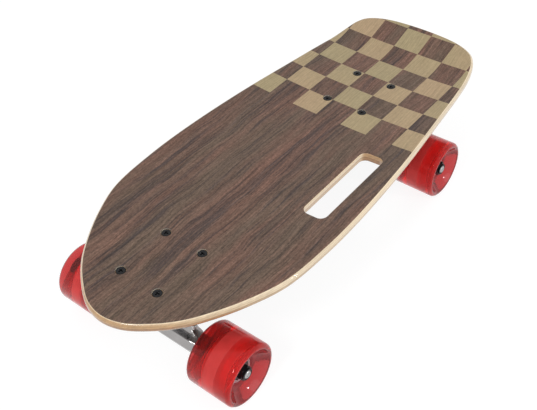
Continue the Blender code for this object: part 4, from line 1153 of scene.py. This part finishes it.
def kingpin_mesh():
    """The kingpin: a round head, a plain shank and a threaded end."""
    corners = [
        (0, KINGPIN_HEAD_TOP),
        (KINGPIN_HEAD_RADIUS, KINGPIN_HEAD_TOP, 1 * MM),
        (KINGPIN_HEAD_RADIUS, KINGPIN_HEAD_FOOT, 0.3 * MM),
        (KINGPIN_RADIUS, KINGPIN_HEAD_FOOT, 0.4 * MM),
        (KINGPIN_RADIUS, KINGPIN_SHANK_FOOT),
    ]
    ends = (KINGPIN_SHANK_FOOT - 0.5 * MM, KINGPIN_FOOT + 0.8 * MM)
    screw = thread(KINGPIN_RADIUS, *ends, 1.1 * MM, 0.45 * MM)
    tip = [(KINGPIN_RADIUS - 1 * MM, KINGPIN_FOOT), (0, KINGPIN_FOOT)]
    return turned("kingpin", [*rounded(corners), *screw, *tip], "zinc_steel", SMALL_STEPS)


def bushing_mesh(name, ring_end, washer_end, washer_radius, bulge):
    """A barrelled urethane bushing. Its bore is wider at the ring, which swings round the kingpin."""
    outer, inner = [], []
    for k in range(1, BUSHING_ROWS):
        share = k / BUSHING_ROWS
        level = ring_end + (washer_end - ring_end) * share
        taper = (washer_radius - BUSHING_RADIUS) * share
        outer.append((BUSHING_RADIUS + taper + bulge * sin(pi * share), level))
        play = BUSHING_PLAY * min(1, BUSHING_FLARE * (1 - share))
        inner.append((KINGPIN_BORE + play, level))
    corners = [
        (KINGPIN_BORE + BUSHING_PLAY, ring_end, 0.4 * MM),
        (BUSHING_RADIUS - 0.3 * MM, ring_end, 1.2 * MM),
        *outer,
        (washer_radius - 0.3 * MM, washer_end, 1.2 * MM),
        (KINGPIN_BORE, washer_end, 0.4 * MM),
        *reversed(inner),
    ]
    return ringed(name, corners, "bushing_urethane")


def washer_mesh(name, back, side):
    """A washer whose rim is rolled towards the bushing it holds, which is above its back where
    side is 1 and below where side is -1."""
    inner = WASHER_RADIUS - 2.2 * MM
    front = WASHER_THICKNESS
    corners = [
        (KINGPIN_BORE, 0, 0.2 * MM),
        (inner, 0, 1 * MM),
        (WASHER_RADIUS, 0.5 * MM, 0.5 * MM),
        (WASHER_RADIUS, front, 0.25 * MM),
        (inner, front - 0.3 * MM, 0.5 * MM),
        (KINGPIN_BORE, front - 0.3 * MM),
    ]
    placed = [(radius, back + side * level, *rest) for radius, level, *rest in corners]
    return ringed(name, placed[::-side], "zinc_steel")


def axle_mesh():
    """The axle with threaded ends, a centre drilling in each, and its inner speed washers."""
    washer_end = INNER_WASHER_START + SPEED_WASHER_THICKNESS
    drilling = [(radius * MM, AXLE_TIP - depth * MM) for radius, depth in DRILLING_ROWS_MM]
    crown = [(AXLE_RADIUS - 0.8 * MM, AXLE_TIP), (AXLE_RADIUS - 0.2 * MM, AXLE_TIP - 0.6 * MM)]
    screw = thread(AXLE_RADIUS, AXLE_TIP - 1 * MM, AXLE_TIP - AXLE_THREAD, 1 * MM)
    collar = [
        (AXLE_RADIUS, AXLE_TIP - AXLE_THREAD - 0.5 * MM),
        (AXLE_RADIUS, washer_end),
        (SPEED_WASHER_RADIUS, washer_end, 0.2 * MM),
        (SPEED_WASHER_RADIUS, INNER_WASHER_START, 0.2 * MM),
        (AXLE_RADIUS, INNER_WASHER_START),
    ]
    rows = mirrored([*drilling, *crown, *screw, *rounded(collar)])
    return turned("axle", rows, "zinc_steel", SMALL_STEPS)


def axle_nut_mesh():
    """The speed washer and the lock nut on it, standing on Z = 0, as one mesh."""
    bore = AXLE_RADIUS + 0.02 * MM
    top = SPEED_WASHER_THICKNESS
    rim = [(SPEED_WASHER_RADIUS, level, 0.2 * MM) for level in (top, 0)]
    washer = ringed("washer", [(bore, top), *rim, (bore, 0)], "black_steel")
    size = (AXLE_NUT_FLATS, AXLE_NUT_HEIGHT)
    nut = lock_nut_mesh("axle_nut", *size, bore, "black_steel pivot_urethane")
    moved(nut, Matrix.Translation((0, 0, top)))
    joined = bmesh.new()
    joined.from_mesh(washer)
    joined.from_mesh(nut)
    joined.to_mesh(nut)
    joined.free()
    return nut


# Wheels


def bearing_mesh():
    """A ball bearing: outer ring, shields set back between the rings, inner ring."""
    half = BEARING_WIDTH / 2
    bore = AXLE_RADIUS + 0.05 * MM
    inner, outer = bore + 2.1 * MM, BEARING_RADIUS - 1.6 * MM
    corners = [
        (bore, half, 0.3 * MM),
        (inner, half, 0.1 * MM),
        (inner, half - 0.45 * MM),
        (inner + 0.4 * MM, half - 0.45 * MM),
        (inner + 0.8 * MM, half - 0.2 * MM, 0.4 * MM),
        (outer - 0.6 * MM, half - 0.2 * MM, 0.4 * MM),
        (outer - 0.2 * MM, half - 0.4 * MM),
        (outer, half, 0.1 * MM),
        (BEARING_RADIUS, half, 0.4 * MM),
    ]
    mesh = ringed("bearing", mirrored(corners), "bearing_steel bearing_shield")
    edge = 0.05 * MM
    paint(mesh, lambda at: inner + edge < hypot(at.x, at.y) < outer - edge)
    return mesh


def wheel_core_mesh():
    """The opaque core: a hub with a seat for a bearing at each end, and a raised band."""
    shoulder = BEARING_SPACING / 2 - GAP
    seat = BEARING_RADIUS + 0.1 * MM
    corners = [
        (BEARING_RADIUS - CORE_SHOULDER, shoulder),
        (seat, shoulder),
        (seat, CORE_END, 0.3 * MM),
        (HUB_RADIUS, CORE_END, 0.4 * MM),
        (HUB_RADIUS, CORE_BAND_HALF_WIDTH, 0.8 * MM),
        (CORE_BAND_RADIUS, CORE_BAND_HALF_WIDTH, 0.4 * MM),
    ]
    return ringed("wheel_core", mirrored(corners), "wheel_core", CORE_STEPS)


def wheel_tyre_mesh():
    """The clear tyre, dished on both faces. It is cast over the core, so it holds the core's skin."""
    end = CORE_END + CORE_COVER
    foot = Vector((HUB_RADIUS + 0.6 * MM, end))
    lip = Vector((DISH_RADIUS, WHEEL_HALF_WIDTH))
    hollow = Vector((lip.y - foot.y, foot.x - lip.x)).normalized() * DISH_HOLLOW
    shares = [k / DISH_ROWS for k in range(1, DISH_ROWS)]
    curve = [foot.lerp(lip, share) + hollow * (1 - (2 * share - 1) ** 2) for share in shares]
    corners = [
        (BEARING_RADIUS + 0.35 * MM, end, 0.2 * MM),
        (*foot, 0.4 * MM),
        *[tuple(point) for point in curve],
        (*lip, 1.2 * MM),
        (WHEEL_RADIUS, WHEEL_HALF_WIDTH, WHEEL_CORNER),
    ]
    return ringed("wheel_tyre", mirrored(corners), "wheel_urethane", TYRE_STEPS)


def build_wheel(name, truck, side, meshes):
    """One wheel with its bearings on the axle's end, and the nut that holds it."""
    axle = truck @ AXLE_FRAME if side == 1 else truck @ AXLE_FRAME @ TURNED_OVER
    reach = (BEARING_SPACING + BEARING_WIDTH) / 2
    for piece, mesh, distance in (
        ("axle_nut", "axle_nut", AXLE_NUT_START),
        ("wheel_tyre", "wheel_tyre", WHEEL_CENTRE),
        ("wheel_core", "wheel_core", WHEEL_CENTRE),
        ("inner_bearing", "bearing", WHEEL_CENTRE - reach),
        ("outer_bearing", "bearing", WHEEL_CENTRE + reach),
    ):
        place = axle @ Matrix.Translation((0, 0, distance))
        dress(f"{name}_{piece}", meshes[mesh], place)


def build_truck(name, truck, left_side, meshes):
    """One truck under its bolt pattern. left_side is the truck's own side that is the board's left."""
    kingpin = truck @ KINGPIN_FRAME
    for piece, place in (
        ("riser_pad", truck),
        ("baseplate", truck),
        ("pivot_cup", truck @ PIVOT_FRAME),
        ("hanger", truck),
        ("axle", truck @ AXLE_FRAME),
        ("kingpin", kingpin),
        ("washer_boardside", kingpin),
        ("washer_roadside", kingpin),
    ):
        dress(f"{name}_{piece}", meshes[piece], place)
    bodies = BODY_OF[f"{name}_hanger"], BODY_OF[f"{name}_kingpin"]
    for piece, heights in BUSHING_BENDS.items():
        dress(f"{name}_{piece}", meshes[piece], kingpin, (*bodies, *heights))
    nut_place = kingpin @ Matrix.Translation((0, 0, KINGPIN_NUT_TOP)) @ TURNED_OVER
    dress(f"{name}_kingpin_nut", meshes["kingpin_nut"], nut_place)
    for number, (x, y) in enumerate(bolt_places(), 1):
        head = Matrix.Translation((x, y, DECK_TOP - BASEPLATE_TOP - BOLT_SINK))
        dress(f"{name}_deck_bolt_{number}", meshes["deck_bolt"], truck @ head)
        seat = Matrix.Translation((x, y, -PLATE_THICKNESS - GAP))
        dress(f"{name}_deck_nut_{number}", meshes["deck_nut"], truck @ seat @ TURNED_OVER)
    for side, side_name in ((left_side, "left"), (-left_side, "right")):
        build_wheel(f"{name}_{side_name}", truck, side, meshes)


def truck_meshes():
    """Every mesh that the two trucks and their wheels share."""
    kingpin_nut = (KINGPIN_NUT_FLATS, KINGPIN_NUT_HEIGHT, KINGPIN_RADIUS + 0.05 * MM)
    deck_nut = (DECK_NUT_FLATS, DECK_NUT_HEIGHT, BOLT_RADIUS + 0.02 * MM)
    board_end, road_end = (BUSHING_RADIUS, 0.5 * MM), (ROAD_BUSHING_END_RADIUS, 0.3 * MM)
    return {
        "riser_pad": riser_mesh(),
        "baseplate": baseplate_mesh(),
        "pivot_cup": pivot_cup_mesh(),
        "kingpin": kingpin_mesh(),
        "kingpin_nut": lock_nut_mesh("kingpin_nut", *kingpin_nut, "zinc_steel nylon_insert"),
        "bushing_boardside": bushing_mesh("bushing_boardside", *BOARD_BUSHING, *board_end),
        "bushing_roadside": bushing_mesh("bushing_roadside", *ROAD_BUSHING, *road_end),
        "washer_boardside": washer_mesh("washer_boardside", BOARD_WASHER_BACK, -1),
        "washer_roadside": washer_mesh("washer_roadside", ROAD_WASHER_BACK, 1),
        "deck_bolt": deck_bolt_mesh(),
        "deck_nut": lock_nut_mesh("deck_nut", *deck_nut, "zinc_steel nylon_insert"),
        "hanger": hanger_mesh(),
        "axle": axle_mesh(),
        "axle_nut": axle_nut_mesh(),
        "bearing": bearing_mesh(),
        "wheel_core": wheel_core_mesh(),
        "wheel_tyre": wheel_tyre_mesh(),
    }


# Stage, lights and camera


def show(tree, lighting, seen, output):
    """Give a surface one shader for the light it sends, and another where it is seen as it is: by
    the camera, in a mirror or through glass."""
    rays = new_node(tree, "LightPath").outputs
    share = rays["Is Camera Ray"]
    for name in ("Is Glossy Ray", "Is Transmission Ray"):
        share = new_node(tree, "Math", {0: share, 1: rays[name]}, operation="MAXIMUM").outputs[0]
    shaders = {0: share, 1: lighting.outputs[0], 2: seen.outputs[0]}
    mixed = new_node(tree, "MixShader", shaders).outputs[0]
    feed(tree.nodes[output].inputs["Surface"], mixed)


def build_world():
    """White where it is seen, and a softer light where it lights the board."""
    world = bpy.data.worlds.new("studio")
    bpy.context.scene.world = world
    world.use_nodes = True
    tree = world.node_tree
    tree.nodes.remove(tree.nodes["Background"])
    soft = new_node(tree, "Background", {"Color": (1, 1, 1), "Strength": AMBIENT})
    white = new_node(tree, "Background", {"Color": (1, 1, 1), "Strength": 1.0})
    show(tree, soft, white, "World Output")


def build_floor():
    """A pale floor that reads as white and keeps the board's soft shadow."""
    mesh = bpy.data.meshes.new("floor")
    ends = (-FLOOR_REACH, FLOOR_REACH)
    corners = [(x, y, -FLOOR_DEPTH) for x in ends for y in ends]
    mesh.from_pydata(corners, [], [(0, 2, 3, 1)])
    material = bpy.data.materials.new("floor")
    material.use_nodes = True
    tree = material.node_tree
    tree.nodes.remove(tree.nodes["Principled BSDF"])
    matt = new_node(tree, "BsdfDiffuse", {"Color": (FLOOR_GREY,) * 3})
    faint = new_node(tree, "BsdfDiffuse", {"Color": (FLOOR_SEEN_GREY,) * 3})
    glow = new_node(tree, "Emission", {"Strength": FLOOR_GLOW})
    both = new_node(tree, "AddShader", {0: faint.outputs[0], 1: glow.outputs[0]})
    show(tree, matt, both, "Material Output")
    mesh.materials.append(material)
    added("floor", mesh)


def add_lamp(name, place, target, size, watts):
    """A round soft lamp that points at the target."""
    light = bpy.data.lights.new(name, "AREA")
    light.shape = "DISK"
    light.size = size
    light.energy = watts
    lamp = added(name, light)
    lamp.location = place
    lamp.rotation_euler = (Vector(target) - Vector(place)).to_track_quat("-Z", "Y").to_euler()


def build_camera():
    camera = added("camera", bpy.data.cameras.new("camera"))
    camera.location = CAMERA_PLACE
    camera.rotation_euler = Euler([radians(turn) for turn in CAMERA_TURN])
    camera.data.lens = CAMERA_LENS_MM
    camera.data.clip_start = 10 * MM
    bpy.context.scene.camera = camera


build_deck()
shared = truck_meshes()
for truck_name, end, turn in (("front", 1, 0), ("rear", -1, pi)):
    middle = Matrix.Translation((BOARD_X + end * WHEELBASE / 2, 0, BASEPLATE_TOP))
    build_truck(truck_name, middle @ Matrix.Rotation(turn, 4, "Z"), end, shared)
build_world()
build_floor()
for lamp_settings in LAMPS:
    add_lamp(*lamp_settings)
build_camera()
bpy.context.scene.view_settings.view_transform = "Standard"

bpy.context.view_layer.update()
